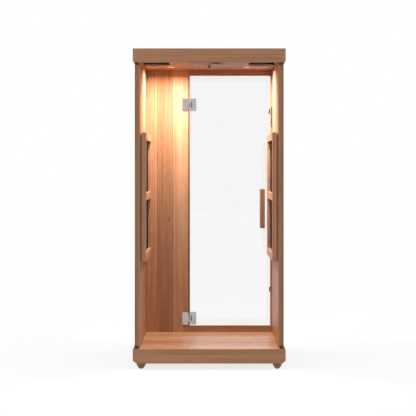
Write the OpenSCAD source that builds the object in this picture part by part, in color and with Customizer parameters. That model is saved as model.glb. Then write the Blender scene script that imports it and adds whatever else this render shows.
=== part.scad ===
// One-person infrared sauna cabin: boarded double-skin walls on a footed base, a frameless
// glass door that swings outwards, wooden heater guards on both side walls, and an open rear
// where the back wall is taken off. X runs right, Y runs to the door, Z runs up, and the origin
// is the middle of the whole outline on the ground.

/* [Overall] */
// Width across the base and roof trims
cabin_w = 910; // [800:5:1100]
// Depth from the open rear plane to the face of the front trims
cabin_d = 910; // [800:5:1100]
// Height from the ground to the top of the roof
cabin_h = 1910; // [1600:5:2300]

/* [Base and roof] */
// Height of the turned feet
foot_h = 35; // [25:1:60]
// Largest radius of a foot's bowl
foot_r = 28; // [20:1:34]
// Radius of the flat that a foot stands on
foot_rest_r = 11; // [7:0.5:16]
// Share of a foot's height that its bowl takes
foot_bowl = 0.77; // [0.6:0.01:0.85]
// How far a foot flares out above its bowl
foot_flare = 5; // [3:0.5:6]
// Distance from a foot's centre to the cabin's sides
foot_inset = 48; // [46:1:80]
// Height from the underside of the base to the floor
base_h = 85; // [60:1:140]
// Height of the rear roof fascia
roof_h = 83; // [70:1:140]
// How far the fascia hangs below the ceiling
fascia_drop = 16; // [5:1:40]
// Thickness of the base and roof boards
board_t = 22; // [15:1:30]
// Thickness of the floor panel
floor_t = 18; // [12:1:30]
// Thickness of the ceiling panel
ceiling_t = 12; // [8:1:20]
// Thickness of the roof panel
roof_panel_t = 12; // [8:1:20]
// Thickness of the trims planted on the base and the roof
trim_t = 10; // [6:1:16]
// How far the base trims lap over the walls
trim_lap = 20; // [10:1:30]
// Height of the bevel where a base trim meets the wall
trim_bevel_h = 25; // [10:1:35]
// Height of the bevel where a roof trim meets the wall
roof_bevel_h = 19; // [10:1:35]
// How far the roof trims hang below the fascia
trim_drop = 8; // [0:1:12]
// Thickness left at the thin edge of a trim
trim_tip = 1; // [0.5:0.5:2]
// Width of the bevel along the bottom edge of the base
base_bevel_w = 21; // [17:1:24]
// Height of the bevel along the bottom edge of the base
base_bevel_h = 17; // [8:1:22]

/* [Walls] */
// Thickness of the inner boarding
lining_t = 9; // [6:1:14]
// Thickness of the frame between the two skins
stud_t = 14; // [10:1:30]
// Thickness of the outer boarding
cladding_t = 9; // [6:1:14]
// Width of a stud
stud_w = 45; // [30:1:60]
// Distance from the open rear plane to the rear ends of the side walls
wall_setback = 36; // [30:1:50]
// Height of the sole plates, which show as notches at the foot of the wall ends
plate_h = 16; // [10:1:24]
// Height of the head plates, whose notches show under the rear fascia
head_plate_h = 28; // [20:1:40]
// How far the plates stop short of the wall ends
plate_setback = 24; // [10:1:40]

/* [Doorway] */
// Width of the boarded panel beside the door
panel_w = 173; // [100:1:220]
// Width of the jamb board that carries the hinges
jamb_w = 100; // [80:1:140]
// How far the jamb board stands proud of the boarding
jamb_proud = 2; // [1:0.5:4]
// Width of the tongue along the free edge of the jamb board
tongue_w = 12.5; // [6:0.5:13]
// Thickness of that tongue
tongue_t = 3.5; // [2.5:0.5:3.5]
// Distance from the face of the boarding to that tongue
tongue_back = 0.5; // [0:0.5:1]
// Clearance between that tongue and the knuckles of the hinges
tongue_gap = 1; // [0.5:0.5:3]
// Height of the header board over the door
header_h = 37; // [30:1:80]
// Height of the sill board under the door
sill_h = 43; // [38:1:80]
// Width of the strip that the door closes against
strike_w = 12; // [10:1:30]

/* [Door] */
// Thickness of the glass
glass_t = 8; // [6:1:10]
// How far the glass laps behind the sill, header and strike strip
glass_lap = 2; // [1:0.5:3]
// Corner radius of the glass
glass_r = 6; // [3:1:12]
// Clearance of the moving door to the wall
run_gap = 5; // [5:0.5:8]
// Length of the handle bars
bar_l = 257; // [180:1:400]
// Width of the handle bars
bar_w = 30; // [24:1:40]
// Depth of the handle bars
bar_d = 22; // [16:1:30]
// Corner radius of the handle bars
bar_r = 5; // [2:1:8]
// Gap between a handle bar and the glass
bar_gap = 28; // [25:1:45]
// Distance from the middle of a handle bar to the free edge of the glass
bar_inset = 53; // [40:1:90]
// Height of the middle of the handle bars above the floor
bar_z = 813; // [700:1:1000]
// Height of the magnetic catches
catch_h = 31; // [20:1:50]
// Width of the upper catch
catch_w = 8.5; // [6:0.5:12]
// Width of the lower catch
catch_low_w = 6; // [4:0.5:12]
// Corner radius of the catches
catch_r = 2; // [1:0.5:3]
// Distance from the header to the middle of the upper catch
catch_top = 235; // [150:1:500]
// Distance from the sill to the middle of the lower catch
catch_bottom = 238; // [150:1:500]
// Distance between the standoffs of a handle bar
standoff_pitch = 148; // [120:1:200]
// Diameter of the standoffs
standoff_d = 16; // [10:1:20]

/* [Hinges] */
// Height of the hinge plates
leaf_h = 82; // [60:1:100]
// Width of the plate on the jamb
wall_leaf_w = 38; // [30:1:60]
// Width of the plates on the glass
glass_leaf_w = 41; // [30:1:60]
// Thickness of the plates
leaf_t = 4; // [3:0.5:5]
// Corner radius of the plates
leaf_r = 4; // [2:0.5:8]
// Width of the groove in the inner plate beside the knuckle
groove_w = 6; // [3:0.5:8]
// Depth of that groove
groove_depth = 1.5; // [0.5:0.5:2]
// Distance from the pin to the middle of that groove
groove_x = 18; // [13:0.5:30]
// Thickness of the gaskets between the plates and the glass
gasket_t = 1; // [0.5:0.5:2]
// Height of the knuckle
knuckle_h = 35; // [25:1:45]
// Height of the middle part of the knuckle, which turns with the door
knuckle_mid_h = 14; // [10:1:18]
// Radius of the knuckle
knuckle_r = 6; // [5:0.5:7]
// Diameter of the pin
pin_d = 5; // [4:0.5:6]
// Radial clearance of the pin in its bore
pin_gap = 0.05; // [0.02:0.01:0.1]
// End play between the parts of the knuckle
end_play = 0.4; // [0.2:0.1:0.8]
// Distance from the edge of the jamb board to the pin
pin_out = 6; // [5:0.5:9]
// How far the plate on the jamb reaches past the edge of the jamb board
leaf_lap = 4; // [0:0.5:5]
// Width of the arm that carries the knuckle round the jamb board
arm_w = 8; // [6:0.5:9]
// Clearance between that arm and the jamb board
arm_gap = 0.5; // [0.3:0.1:1]
// Clearance between the knuckle and the glass
glass_gap = 2; // [1.5:0.5:3]
// How far the plates on the glass reach past its edge
plate_lap = 0.5; // [0:0.1:1]
// Clearance that the turning plates have in the fork of the arm
fork_gap = 2; // [1.5:0.5:3]
// Distance from the pin to the post behind the jamb board
post_gap = 19; // [19:1:30]
// Distance from the header to the middle of the upper hinge
hinge_top = 191; // [120:1:300]
// Distance from the sill to the middle of the lower hinge
hinge_bottom = 46; // [46:1:300]

/* [Heater guards] */
// Height of the guards' lower edge above the floor
guard_z = 517; // [300:1:600]
// Height of the guards
guard_h = 775; // [500:1:900]
// Distance from a guard to the rear end of its wall
guard_rear = 1; // [0:0.5:5]
// Distance from a guard to the front wall
guard_front = 51; // [45:1:120]
// Thickness of the guards' boards
guard_t = 25; // [20:1:30]
// Thickness of the cleats between the guards and the walls
cleat_t = 10; // [8:1:16]
// Width of the cleats
cleat_w = 20; // [12:1:30]
// How far the cleats lie in from the edges of a guard
cleat_in = 15; // [8:1:20]
// Width of the upright boards
stile_w = 50; // [40:1:80]
// Height of the cross boards
rail_h = 44; // [30:1:60]
// Depth from the face of a guard to the face of its heaters
heater_recess = 19; // [12:1:23]
// Clearance of a heater in its opening
heater_gap = 0.5; // [0.2:0.1:1]
// Width of the flange behind the guard that carries a heater
heater_flange = 8; // [5:1:12]
// Thickness of that flange
flange_t = 6; // [3:1:8]

/* [Fittings] */
// Diameter of the ceiling speakers
speaker_d = 158; // [120:1:180]
// Width of a speaker's rim
speaker_rim_w = 10; // [6:1:16]
// Depth of a speaker's rim
speaker_rim_h = 18; // [8:1:24]
// Height of a speaker's domed grille
speaker_dome_h = 4; // [2:1:14]
// Gap between a speaker and the side wall
speaker_gap = 15; // [5:1:60]
// Distance from the open rear plane to the speakers
speaker_y = 200; // [140:1:300]
// Diameter of the ceiling lights
light_d = 43; // [30:1:70]
// Height of a ceiling light
light_h = 4; // [3:0.5:12]
// Distance from the side walls to the middle of the lights
light_inset = 172; // [60:1:200]
// Distance from the front wall to the lights
light_y = 300; // [150:1:350]
// Diameter of the temperature sensor's flange
sensor_d = 54; // [30:1:70]
// Thickness of that flange
sensor_t = 3; // [2:0.5:6]
// Diameter of the sensor's probe
probe_d = 13; // [8:1:18]
// Radius of the rounded end of the probe
probe_edge = 3; // [1:0.5:4]
// How far the probe hangs below the ceiling
probe_l = 18; // [10:1:30]
// Distance from the open rear plane to the sensor
sensor_y = 430; // [380:1:520]
// Length of the ceiling vent
vent_w = 196; // [140:1:240]
// Depth of the ceiling vent
vent_d = 64; // [50:1:90]
// Thickness of the vent plate
vent_t = 5; // [4:0.5:8]
// Width of the vent plate at the ends of its slot
vent_end_w = 20; // [12:1:30]
// Width of the runners along the slot
vent_runner_w = 12; // [8:1:16]
// Length of the rear runner that is cut away for the shutter's grip
vent_cut = 74; // [40:1:90]
// How far the shutter is sunk behind the face of the vent plate
vent_sunk = 1; // [0.5:0.5:2]
// Clearance of the shutter in the slot
vent_play = 0.3; // [0.2:0.1:0.6]
// Distance from the open rear plane to the middle of the vent
vent_y = 250; // [180:1:300]
// How far the vent lies left of the middle
vent_shift = 8; // [0:1:20]
// Gap between the control panel and the guard and front wall beside it
control_gap = 3.5; // [2:0.5:6]
// Height of the control panel
control_h = 127; // [80:1:200]
// Corner radius of the control panel
control_r = 4; // [2:1:8]
// Thickness of the control panel
control_t = 9; // [6:1:14]
// Distance from the ceiling to the top of the control panel
control_drop = 243; // [120:1:260]

/* [Hidden] */

$fn = 48;
wood = "#b07a55";
wood_light = "#c98f66";
steel = "#b4b4b4";
dark = "#3a3230";

// Side to side: trims, outer face of the side walls, faces of their frame, and the room
half_w = cabin_w / 2;
wall_x = half_w - trim_t;
stud_x1 = wall_x - cladding_t;
stud_x0 = stud_x1 - stud_t;
room_x = stud_x0 - lining_t;

// Back to front: the outer handle stands out past the trims, so it sets the outline's middle
door_set_back = trim_t + cladding_t + stud_t - run_gap - glass_t;
handle_beyond = max(0, bar_gap + bar_d - door_set_back);
rear_y = -(cabin_d + handle_beyond) / 2;
front_y = rear_y + cabin_d;
skin_y = front_y - trim_t;
post_y1 = skin_y - cladding_t;
post_y0 = post_y1 - stud_t;
room_y = post_y0 - lining_t;
wall_y = rear_y + wall_setback;

// Ground to roof
floor_z = foot_h + base_h;
deck_z = floor_z - floor_t;
fascia_z = cabin_h - roof_h;
ceiling_z = fascia_z + fascia_drop;
loft_z = ceiling_z + ceiling_t;
roof_z = cabin_h - roof_panel_t;
base_trim_z = floor_z + trim_lap;
roof_trim_z = fascia_z - trim_drop;

// The doorway and the door in it
jamb_x0 = -room_x + panel_w;
jamb_x = jamb_x0 + jamb_w;
strike_x = room_x - strike_w;
sill_z = floor_z + sill_h;
header_z = ceiling_z - header_h;
glass_y0 = post_y0 + run_gap;
glass_y1 = glass_y0 + glass_t;
pin_x = jamb_x + pin_out;
pin_y = (glass_y0 + glass_y1) / 2;
glass_x0 = pin_x + knuckle_r + glass_gap;
glass_x1 = strike_x + glass_lap;
glass_z0 = sill_z - glass_lap;
glass_z1 = header_z + glass_lap;
post_x = pin_x - post_gap;
opening_x1 = glass_x1 + run_gap;
opening_z0 = glass_z0 - run_gap;
opening_z1 = glass_z1 + run_gap;
hinge_zs = [sill_z + hinge_bottom, header_z - hinge_top];
tongue_y = room_y + tongue_back;
tongue_cut = knuckle_h / 2 + tongue_gap;
arm_d = pin_y - room_y + jamb_proud + leaf_t;
plate_x = knuckle_r + glass_gap - plate_lap;
plate_y = glass_t / 2 + gasket_t;
plate_x1 = plate_x + glass_leaf_w;
turn_r = norm([plate_x, plate_y + leaf_t]) + fork_gap;
bar_x = glass_x1 - bar_inset;
bar_mid_z = floor_z + bar_z;

// The heater guards
guard_z0 = floor_z + guard_z;
guard_z1 = guard_z0 + guard_h;
guard_y0 = wall_y + guard_rear;
guard_y1 = room_y - guard_front;
cleat_x = room_x - cleat_t;
guard_x = cleat_x - guard_t;
rail_mid_z = (guard_z0 + guard_z1 - rail_h) / 2;

// A board or panel between two corners
module slab(low, high) {
    translate(low)
        cube(high - low);
}

// A plate with true round corners, centred on the origin and standing on XY
module round_plate(w, h, r, t) {
    linear_extrude(t) {
        square([w - 2 * r, h], center = true);
        square([w, h - 2 * r], center = true);
        for (x = [-1, 1], y = [-1, 1])
            translate([x * (w / 2 - r), y * (h / 2 - r)])
                circle(r);
    }
}

// The same plate standing upright, its back at y and its thickness running towards +Y
module upright_plate(x0, x1, y, z0, z1, r, t) {
    translate([(x0 + x1) / 2, y + t, (z0 + z1) / 2])
        rotate([90, 0, 0])
            round_plate(x1 - x0, z1 - z0, r, t);
}

// Both sides of the cabin, right one as drawn
module both_sides() {
    children();
    mirror([1, 0, 0])
        children();
}

// ---- Base ----

// A turned foot: a bowl that swells from a small flat and flares into the base
bowl_h = foot_bowl * foot_h;
bowl_swell = [0.76 * foot_r, 0.25 * foot_h];
bowl_steps = 8;
flare_steps = 4;

function bowl(t) = (1 - t) * (1 - t) * [foot_rest_r, 0]
    + 2 * t * (1 - t) * bowl_swell
    + t * t * [foot_r, bowl_h];
function flare(t) = [
    foot_r + foot_flare * (1 - cos(90 * t)),
    bowl_h + (foot_h - bowl_h) * sin(90 * t)
];

module foot() {
    rotate_extrude()
        polygon(concat(
            [[0, 0]],
            [for (i = [0:bowl_steps]) bowl(i / bowl_steps)],
            [for (i = [1:flare_steps]) flare(i / flare_steps)],
            [[0, foot_h]]
        ));
}

module feet() {
    color(wood)
        for (x = [-1, 1], y = [rear_y + foot_inset, front_y - foot_inset])
            translate([x * (half_w - foot_inset), y, 0])
                foot();
}

// The outline of the base seen from the rear, inside the trims, with bevelled bottom corners
bevel_in = base_bevel_w - trim_t;
bevel_up = base_bevel_h * bevel_in / base_bevel_w;

module base_outline(half, top) {
    polygon([
        [-half, top], [-half, foot_h + bevel_up], [-half + bevel_in, foot_h],
        [half - bevel_in, foot_h], [half, foot_h + bevel_up], [half, top]
    ]);
}

module base_rear_board() {
    color(wood)
        translate([0, rear_y + board_t, 0])
            rotate([90, 0, 0])
                linear_extrude(board_t)
                    base_outline(wall_x, floor_z);
}

// The front board is bevelled along its foot and at both ends
module base_front_board() {
    color(wood)
        intersection() {
            translate([0, skin_y, 0])
                rotate([90, 0, 0])
                    linear_extrude(board_t)
                        base_outline(wall_x, deck_z);
            translate([-wall_x, 0, 0])
                rotate([90, 0, 90])
                    linear_extrude(2 * wall_x)
                        polygon([
                            [skin_y - board_t, foot_h], [skin_y - bevel_in, foot_h],
                            [skin_y, foot_h + bevel_up], [skin_y, deck_z], [skin_y - board_t, deck_z]
                        ]);
        }
}

// A joist along each side, and two between them that part the floor in three
module base_joists() {
    y0 = rear_y + board_t;
    y1 = skin_y - board_t;
    middle_x = wall_x / 3;
    color(wood) {
        both_sides()
            translate([0, y1, 0])
                rotate([90, 0, 0])
                    linear_extrude(y1 - y0)
                        polygon([
                            [wall_x - board_t, foot_h], [wall_x - bevel_in, foot_h],
                            [wall_x, foot_h + bevel_up], [wall_x, deck_z], [wall_x - board_t, deck_z]
                        ]);
        both_sides()
            slab([middle_x - board_t / 2, y0, foot_h], [middle_x + board_t / 2, y1, deck_z]);
    }
}

// Blocks in the corners of the base frame that the feet screw into
module base_corner_blocks() {
    block = 2 * (foot_inset - trim_t - board_t) + board_t;
    color(wood)
        both_sides()
            for (y = [rear_y + board_t, skin_y - board_t - block])
                slab([wall_x - board_t - block, y, foot_h], [wall_x - board_t, y + block, deck_z]);
}

// Section of the base trim: u runs outwards from the wall
module base_trim_section() {
    polygon([
        [0, foot_h + bevel_up], [trim_t, foot_h + base_bevel_h],
        [trim_t, base_trim_z - trim_bevel_h], [trim_tip, base_trim_z], [0, base_trim_z]
    ]);
}

// Section of the roof trim, bevelled back to the wall along its lower edge
module roof_trim_section() {
    polygon([
        [0, roof_trim_z], [trim_tip, roof_trim_z], [trim_t, roof_trim_z + roof_bevel_h],
        [trim_t, cabin_h], [0, cabin_h]
    ]);
}

// A trim along the right side, mitred at the front corner
module side_trim() {
    difference() {
        translate([wall_x, front_y, 0])
            rotate([90, 0, 0])
                linear_extrude(cabin_d)
                    children();
        translate([half_w, front_y, 0])
            rotate([0, 0, 45])
                translate([-3 * trim_t, 0, -1])
                    cube([6 * trim_t, 3 * trim_t, cabin_h + 2]);
    }
}

// A trim along the front, mitred at both corners
module front_trim() {
    difference() {
        translate([-half_w, skin_y, 0])
            rotate([90, 0, 90])
                linear_extrude(cabin_w)
                    children();
        both_sides()
            translate([half_w, front_y, 0])
                rotate([0, 0, 45])
                    translate([-3 * trim_t, -3 * trim_t, -1])
                        cube([6 * trim_t, 3 * trim_t, cabin_h + 2]);
    }
}

module base_side_trims() {
    color(wood)
        both_sides()
            side_trim()
                base_trim_section();
}

module base_front_trim() {
    color(wood)
        front_trim()
            base_trim_section();
}

module floor_panel() {
    color(wood_light)
        slab([-wall_x, rear_y + board_t, deck_z], [wall_x, skin_y, floor_z]);
}

// ---- Side walls ----

// The outer boarding laps over the end of the front wall
module side_cladding() {
    slab([stud_x1, wall_y, floor_z], [wall_x, skin_y, ceiling_z]);
}

module side_lining() {
    slab([room_x, wall_y, floor_z], [stud_x0, room_y, ceiling_z]);
}

module left_wall_cladding() {
    color(wood)
        mirror([1, 0, 0])
            side_cladding();
}

module right_wall_cladding() {
    color(wood)
        side_cladding();
}

module left_wall_lining() {
    color(wood_light)
        mirror([1, 0, 0])
            side_lining();
}

module right_wall_lining() {
    color(wood_light)
        side_lining();
}

// Four studs to a side, the end ones flush with the ends of the wall
module side_wall_studs() {
    studs = 4;
    pitch = (room_y - wall_y - stud_w) / (studs - 1);
    color(wood)
        both_sides()
            for (i = [0:studs - 1])
                translate([stud_x0, wall_y + i * pitch, floor_z + plate_h])
                    cube([stud_t, stud_w, ceiling_z - floor_z - plate_h - head_plate_h]);
}

// Sole and head plates, set back so that a notch shows under and over each end stud
module side_wall_plates() {
    color(wood)
        both_sides()
            for (z = [[floor_z, floor_z + plate_h], [ceiling_z - head_plate_h, ceiling_z]])
                slab([stud_x0, wall_y + plate_setback, z[0]], [stud_x1, room_y, z[1]]);
}

// ---- Front wall ----

module front_wall_lining() {
    color(wood_light)
        slab([-room_x, room_y, floor_z], [jamb_x0, post_y0, ceiling_z]);
}

// The jamb board: full height, a little proud of the boarding, with its tongue left showing in
// the doorway. The tongue is cut away where the hinges pass.
module front_jamb_board() {
    z = [sill_z, hinge_zs[0] - tongue_cut, hinge_zs[0] + tongue_cut,
        hinge_zs[1] - tongue_cut, hinge_zs[1] + tongue_cut, header_z];
    color(wood_light)
        union() {
            slab([jamb_x0, room_y - jamb_proud, floor_z], [jamb_x, post_y0, ceiling_z]);
            for (i = [0, 2, 4])
                slab([jamb_x, tongue_y, z[i]], [jamb_x + tongue_w, tongue_y + tongue_t, z[i + 1]]);
        }
}

module front_header() {
    color(wood_light)
        slab([jamb_x, room_y, header_z], [room_x, post_y0, ceiling_z]);
}

module front_sill() {
    color(wood_light)
        slab([jamb_x, room_y, floor_z], [room_x, post_y0, sill_z]);
}

module front_strike_strip() {
    color(wood_light)
        slab([strike_x, room_y, sill_z], [room_x, post_y0, header_z]);
}

// Posts at both corners and on the hinge side of the doorway
module front_frame_posts() {
    color(wood)
        for (x = [[-stud_x1, -stud_x1 + stud_w], [post_x - stud_w, post_x], [opening_x1, stud_x1]])
            slab([x[0], post_y0, floor_z], [x[1], post_y1, ceiling_z]);
}

// Rails at floor and ceiling, beside the doorway and across it
module front_frame_rails() {
    color(wood) {
        for (z = [[floor_z, opening_z0], [opening_z1, ceiling_z]])
            slab([post_x, post_y0, z[0]], [opening_x1, post_y1, z[1]]);
        for (z = [floor_z, ceiling_z - stud_w])
            slab([-stud_x1 + stud_w, post_y0, z], [post_x - stud_w, post_y1, z + stud_w]);
    }
}

module front_cladding_sides() {
    color(wood)
        for (x = [[-stud_x1, post_x], [opening_x1, stud_x1]])
            slab([x[0], post_y1, floor_z], [x[1], skin_y, ceiling_z]);
}

module front_cladding_rails() {
    color(wood)
        for (z = [[floor_z, opening_z0], [opening_z1, ceiling_z]])
            slab([post_x, post_y1, z[0]], [opening_x1, skin_y, z[1]]);
}

// ---- Roof ----

vent_slot = [vent_w - 2 * vent_end_w, vent_d - 2 * vent_runner_w];

module ceiling_panel() {
    color(wood_light)
        difference() {
            slab([-wall_x, rear_y + board_t, ceiling_z], [wall_x, skin_y, loft_z]);
            translate([-vent_shift, rear_y + vent_y, ceiling_z + ceiling_t / 2])
                cube([vent_slot[0], vent_slot[1], ceiling_t + 2], center = true);
        }
}

module roof_rear_fascia() {
    color(wood)
        slab([-wall_x, rear_y, fascia_z], [wall_x, rear_y + board_t, cabin_h]);
}

module roof_front_board() {
    color(wood)
        slab([-wall_x, skin_y - board_t, loft_z], [wall_x, skin_y, roof_z]);
}

module roof_side_boards() {
    color(wood)
        both_sides()
            slab([wall_x - board_t, rear_y + board_t, loft_z], [wall_x, skin_y - board_t, roof_z]);
}

module roof_side_trims() {
    color(wood)
        both_sides()
            side_trim()
                roof_trim_section();
}

module roof_front_trim() {
    color(wood)
        front_trim()
            roof_trim_section();
}

module roof_panel() {
    color(wood)
        slab([-wall_x, rear_y + board_t, roof_z], [wall_x, skin_y, cabin_h]);
}

// ---- Heater guards ----

module heater_stiles() {
    color(wood_light)
        both_sides()
            for (y = [guard_y0, guard_y1 - stile_w])
                slab([guard_x, y, guard_z0], [cleat_x, y + stile_w, guard_z1]);
}

module heater_rails() {
    color(wood_light)
        both_sides()
            for (z = [guard_z0, rail_mid_z, guard_z1 - rail_h])
                slab([guard_x, guard_y0 + stile_w, z], [cleat_x, guard_y1 - stile_w, z + rail_h]);
}

// Upright cleats behind the stiles, clear of the heaters' flanges
module heater_cleats() {
    color(wood)
        both_sides()
            for (y = [guard_y0 + cleat_in, guard_y1 - cleat_in - cleat_w])
                slab([cleat_x, y, guard_z0 + cleat_in], [room_x, y + cleat_w, guard_z1 - cleat_in]);
}

// A heater: a shallow tray that fills its opening, on a flange that bears on the guard's back
module heater(z0, z1) {
    y0 = guard_y0 + stile_w;
    y1 = guard_y1 - stile_w;
    slab([guard_x + heater_recess, y0 + heater_gap, z0 + heater_gap],
        [cleat_x + flange_t, y1 - heater_gap, z1 - heater_gap]);
    slab([cleat_x, y0 - heater_flange, z0 - heater_flange],
        [cleat_x + flange_t, y1 + heater_flange, z1 + heater_flange]);
}

module heater_panels() {
    color(dark)
        both_sides() {
            heater(guard_z0 + rail_h, rail_mid_z);
            heater(rail_mid_z + rail_h, guard_z1 - rail_h);
        }
}

// ---- Door ----

module door_glass() {
    color("#dfe9e8", 0.4)
        upright_plate(glass_x0, glass_x1, glass_y0, glass_z0, glass_z1, glass_r, glass_t);
}

// Plate on the jamb with a forked arm, the outer parts of the knuckle, and the pin. The pin's
// axis is the origin. The arm runs back past the jamb board's edge and tapers into the knuckle.
module wall_leaf() {
    jamb = jamb_x - pin_x;
    face = -arm_d;
    arm_x0 = jamb + arm_gap;
    arm_x1 = arm_x0 + arm_w;
    arm_ease = 1.5;
    fork_h = knuckle_mid_h + 2 * end_play;
    difference() {
        union() {
            upright_plate(jamb - wall_leaf_w, jamb + leaf_lap, face, -leaf_h / 2, leaf_h / 2, leaf_r, leaf_t);
            translate([0, 0, -knuckle_h / 2])
                linear_extrude(knuckle_h) {
                    circle(knuckle_r);
                    polygon([
                        [jamb - leaf_r, face], [arm_x1 - arm_ease, face], [arm_x1, face + arm_ease],
                        [arm_x1, -knuckle_r / 2], [-knuckle_r, 0], [arm_x0, -knuckle_r],
                        [arm_x0, face + leaf_t], [jamb - leaf_r, face + leaf_t]
                    ]);
                }
        }
        translate([-turn_r, -turn_r, -fork_h / 2])
            cube([2 * turn_r, 2 * turn_r, fork_h]);
    }
    cylinder(d = pin_d, h = knuckle_h, center = true);
}

module hinge_wall_plates() {
    color(steel)
        for (z = hinge_zs)
            translate([pin_x, pin_y, z])
                wall_leaf();
}

// A plate on one face of the glass, its back at y
module glass_plate(y) {
    upright_plate(plate_x, plate_x1, y, -leaf_h / 2, leaf_h / 2, leaf_r, leaf_t);
}

// Plates on both faces of the glass. The inner one carries the middle of the knuckle on a
// neck and has a shallow groove beside it.
module glass_leaf() {
    face = -plate_y - leaf_t;
    neck = plate_x + 1;
    difference() {
        union() {
            glass_plate(face);
            translate([0, 0, -knuckle_mid_h / 2])
                linear_extrude(knuckle_mid_h) {
                    circle(knuckle_r);
                    polygon([
                        [-1, 0.2 - knuckle_r], [plate_x, face], [neck, face],
                        [neck, -plate_y], [plate_x, -plate_y], [plate_x, 0], [knuckle_r - 1, 1]
                    ]);
                }
        }
        cylinder(d = pin_d + 2 * pin_gap, h = knuckle_h, center = true);
        translate([groove_x, face, 0])
            cube([groove_w, 2 * groove_depth, knuckle_h + 2], center = true);
    }
    glass_plate(plate_y);
}

module hinge_glass_plates() {
    color(steel)
        for (z = hinge_zs)
            translate([pin_x, pin_y, z])
                glass_leaf();
}

// Thin pads between the plates and the glass, set in from the plates' edges
module hinge_gaskets() {
    set_in = 1;
    x0 = glass_x0 + set_in;
    x1 = pin_x + plate_x1 - set_in;
    z1 = leaf_h / 2 - set_in;
    color(dark)
        for (z = hinge_zs, y = [glass_y0 - gasket_t, glass_y1])
            upright_plate(x0, x1, y, z - z1, z + z1, leaf_r - set_in, gasket_t);
}

// One bar inside and one outside, back to back
module door_handles() {
    color(wood)
        for (y = [glass_y0 - bar_gap - bar_d / 2, glass_y1 + bar_gap + bar_d / 2])
            translate([bar_x, y, bar_mid_z - bar_l / 2])
                round_plate(bar_w, bar_d, bar_r, bar_l);
}

module handle_standoffs() {
    color(steel)
        for (z = [-1, 1], y = [glass_y0 - bar_gap, glass_y1])
            translate([bar_x, y, bar_mid_z + z * standoff_pitch / 2])
                rotate([-90, 0, 0])
                    cylinder(d = standoff_d, h = bar_gap);
}

// Magnetic catches on the edge of the strike strip, the upper one wider
module door_catch(w, z) {
    upright_plate(strike_x - w, strike_x, room_y, z - catch_h / 2, z + catch_h / 2, catch_r, lining_t);
}

module door_catches() {
    color(dark) {
        door_catch(catch_low_w, sill_z + catch_bottom);
        door_catch(catch_w, header_z - catch_top);
    }
}

// ---- Fittings ----

// A slim panel on the right wall, beside the front corner
module control_panel() {
    y = room_y - guard_front / 2;
    z = ceiling_z - control_drop - control_h / 2;
    color(dark)
        translate([room_x - control_t, y, z])
            rotate([90, 0, 90])
                round_plate(guard_front - 2 * control_gap, control_h, control_r, control_t);
}

// A ceiling speaker hanging from the origin: rim, and a grille domed as a cap of a sphere
module speaker() {
    rim_r = speaker_d / 2;
    dome_r = rim_r - speaker_rim_w;
    edge = 3;
    steps = 10;
    cap_r = (dome_r * dome_r + speaker_dome_h * speaker_dome_h) / (2 * speaker_dome_h);
    cap_a = asin(dome_r / cap_r);
    rotate_extrude($fn = 96)
        polygon(concat(
            [[0, 0], [rim_r, 0], [rim_r, edge - speaker_rim_h], [rim_r - edge, -speaker_rim_h]],
            [for (i = [0:steps])
                let (a = cap_a * (1 - i / steps))
                    [cap_r * sin(a), -speaker_rim_h - speaker_dome_h + cap_r * (1 - cos(a))]]
        ));
}

module speakers() {
    color(dark)
        for (x = [-1, 1])
            translate([x * (room_x - speaker_gap - speaker_d / 2), rear_y + speaker_y, ceiling_z])
                speaker();
}

module spot_lights() {
    r = light_d / 2;
    edge = 2;
    color("white")
        for (x = [-1, 1])
            translate([x * (room_x - light_inset), room_y - light_y, ceiling_z])
                rotate_extrude()
                    polygon([[0, 0], [r, 0], [r, -light_h / 2], [r - edge, -light_h], [0, -light_h]]);
}

// A round flange with a short probe
module temperature_sensor() {
    flange_r = sensor_d / 2;
    probe_r = probe_d / 2;
    edge = 1.5;
    steps = 4;
    color(dark)
        translate([0, rear_y + sensor_y, ceiling_z])
            rotate_extrude()
                polygon(concat(
                    [[0, 0], [flange_r, 0], [flange_r, edge - sensor_t]],
                    [[flange_r - edge, -sensor_t], [probe_r, -sensor_t]],
                    [for (i = [0:steps])
                        let (a = 90 * i / steps)
                            [
                                probe_r - probe_edge * (1 - cos(a)),
                                probe_edge * (1 - sin(a)) - probe_l
                            ]],
                    [[0, -probe_l]]
                ));
}

// A wooden vent plate with a slot. The rear runner stops short on the right, and the shutter
// is slid to the left, so the rest of the slot is open.
module ceiling_vent() {
    cut = [vent_cut, vent_runner_w, vent_t];
    shutter = [
        vent_slot[0] - vent_cut + vent_end_w - vent_play,
        vent_slot[1] - 2 * vent_play,
        vent_t + vent_sunk
    ];
    color(wood)
        translate([-vent_shift, rear_y + vent_y, ceiling_z]) {
            translate([vent_play - vent_slot[0] / 2, -shutter[1] / 2, 2 * vent_sunk - shutter[2]])
                cube(shutter);
            difference() {
                translate([-vent_w / 2, -vent_d / 2, -vent_t])
                    cube([vent_w, vent_d, vent_t]);
                cube([vent_slot[0], vent_slot[1], 3 * vent_t], center = true);
                translate([vent_w / 2 - vent_cut, -vent_d / 2, -vent_t])
                    cube(cut);
            }
        }
}

feet();
base_corner_blocks();
base_rear_board();
base_front_board();
base_joists();
base_side_trims();
base_front_trim();
floor_panel();
left_wall_cladding();
left_wall_lining();
right_wall_cladding();
right_wall_lining();
side_wall_studs();
side_wall_plates();
front_wall_lining();
front_jamb_board();
front_header();
front_sill();
front_strike_strip();
front_frame_posts();
front_frame_rails();
front_cladding_sides();
front_cladding_rails();
ceiling_panel();
roof_rear_fascia();
roof_front_board();
roof_side_boards();
roof_side_trims();
roof_front_trim();
roof_panel();
heater_stiles();
heater_rails();
heater_cleats();
heater_panels();
door_glass();
hinge_glass_plates();
hinge_gaskets();
hinge_wall_plates();
door_handles();
handle_standoffs();
door_catches();
control_panel();
speakers();
spot_lights();
temperature_sensor();
ceiling_vent();
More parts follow.
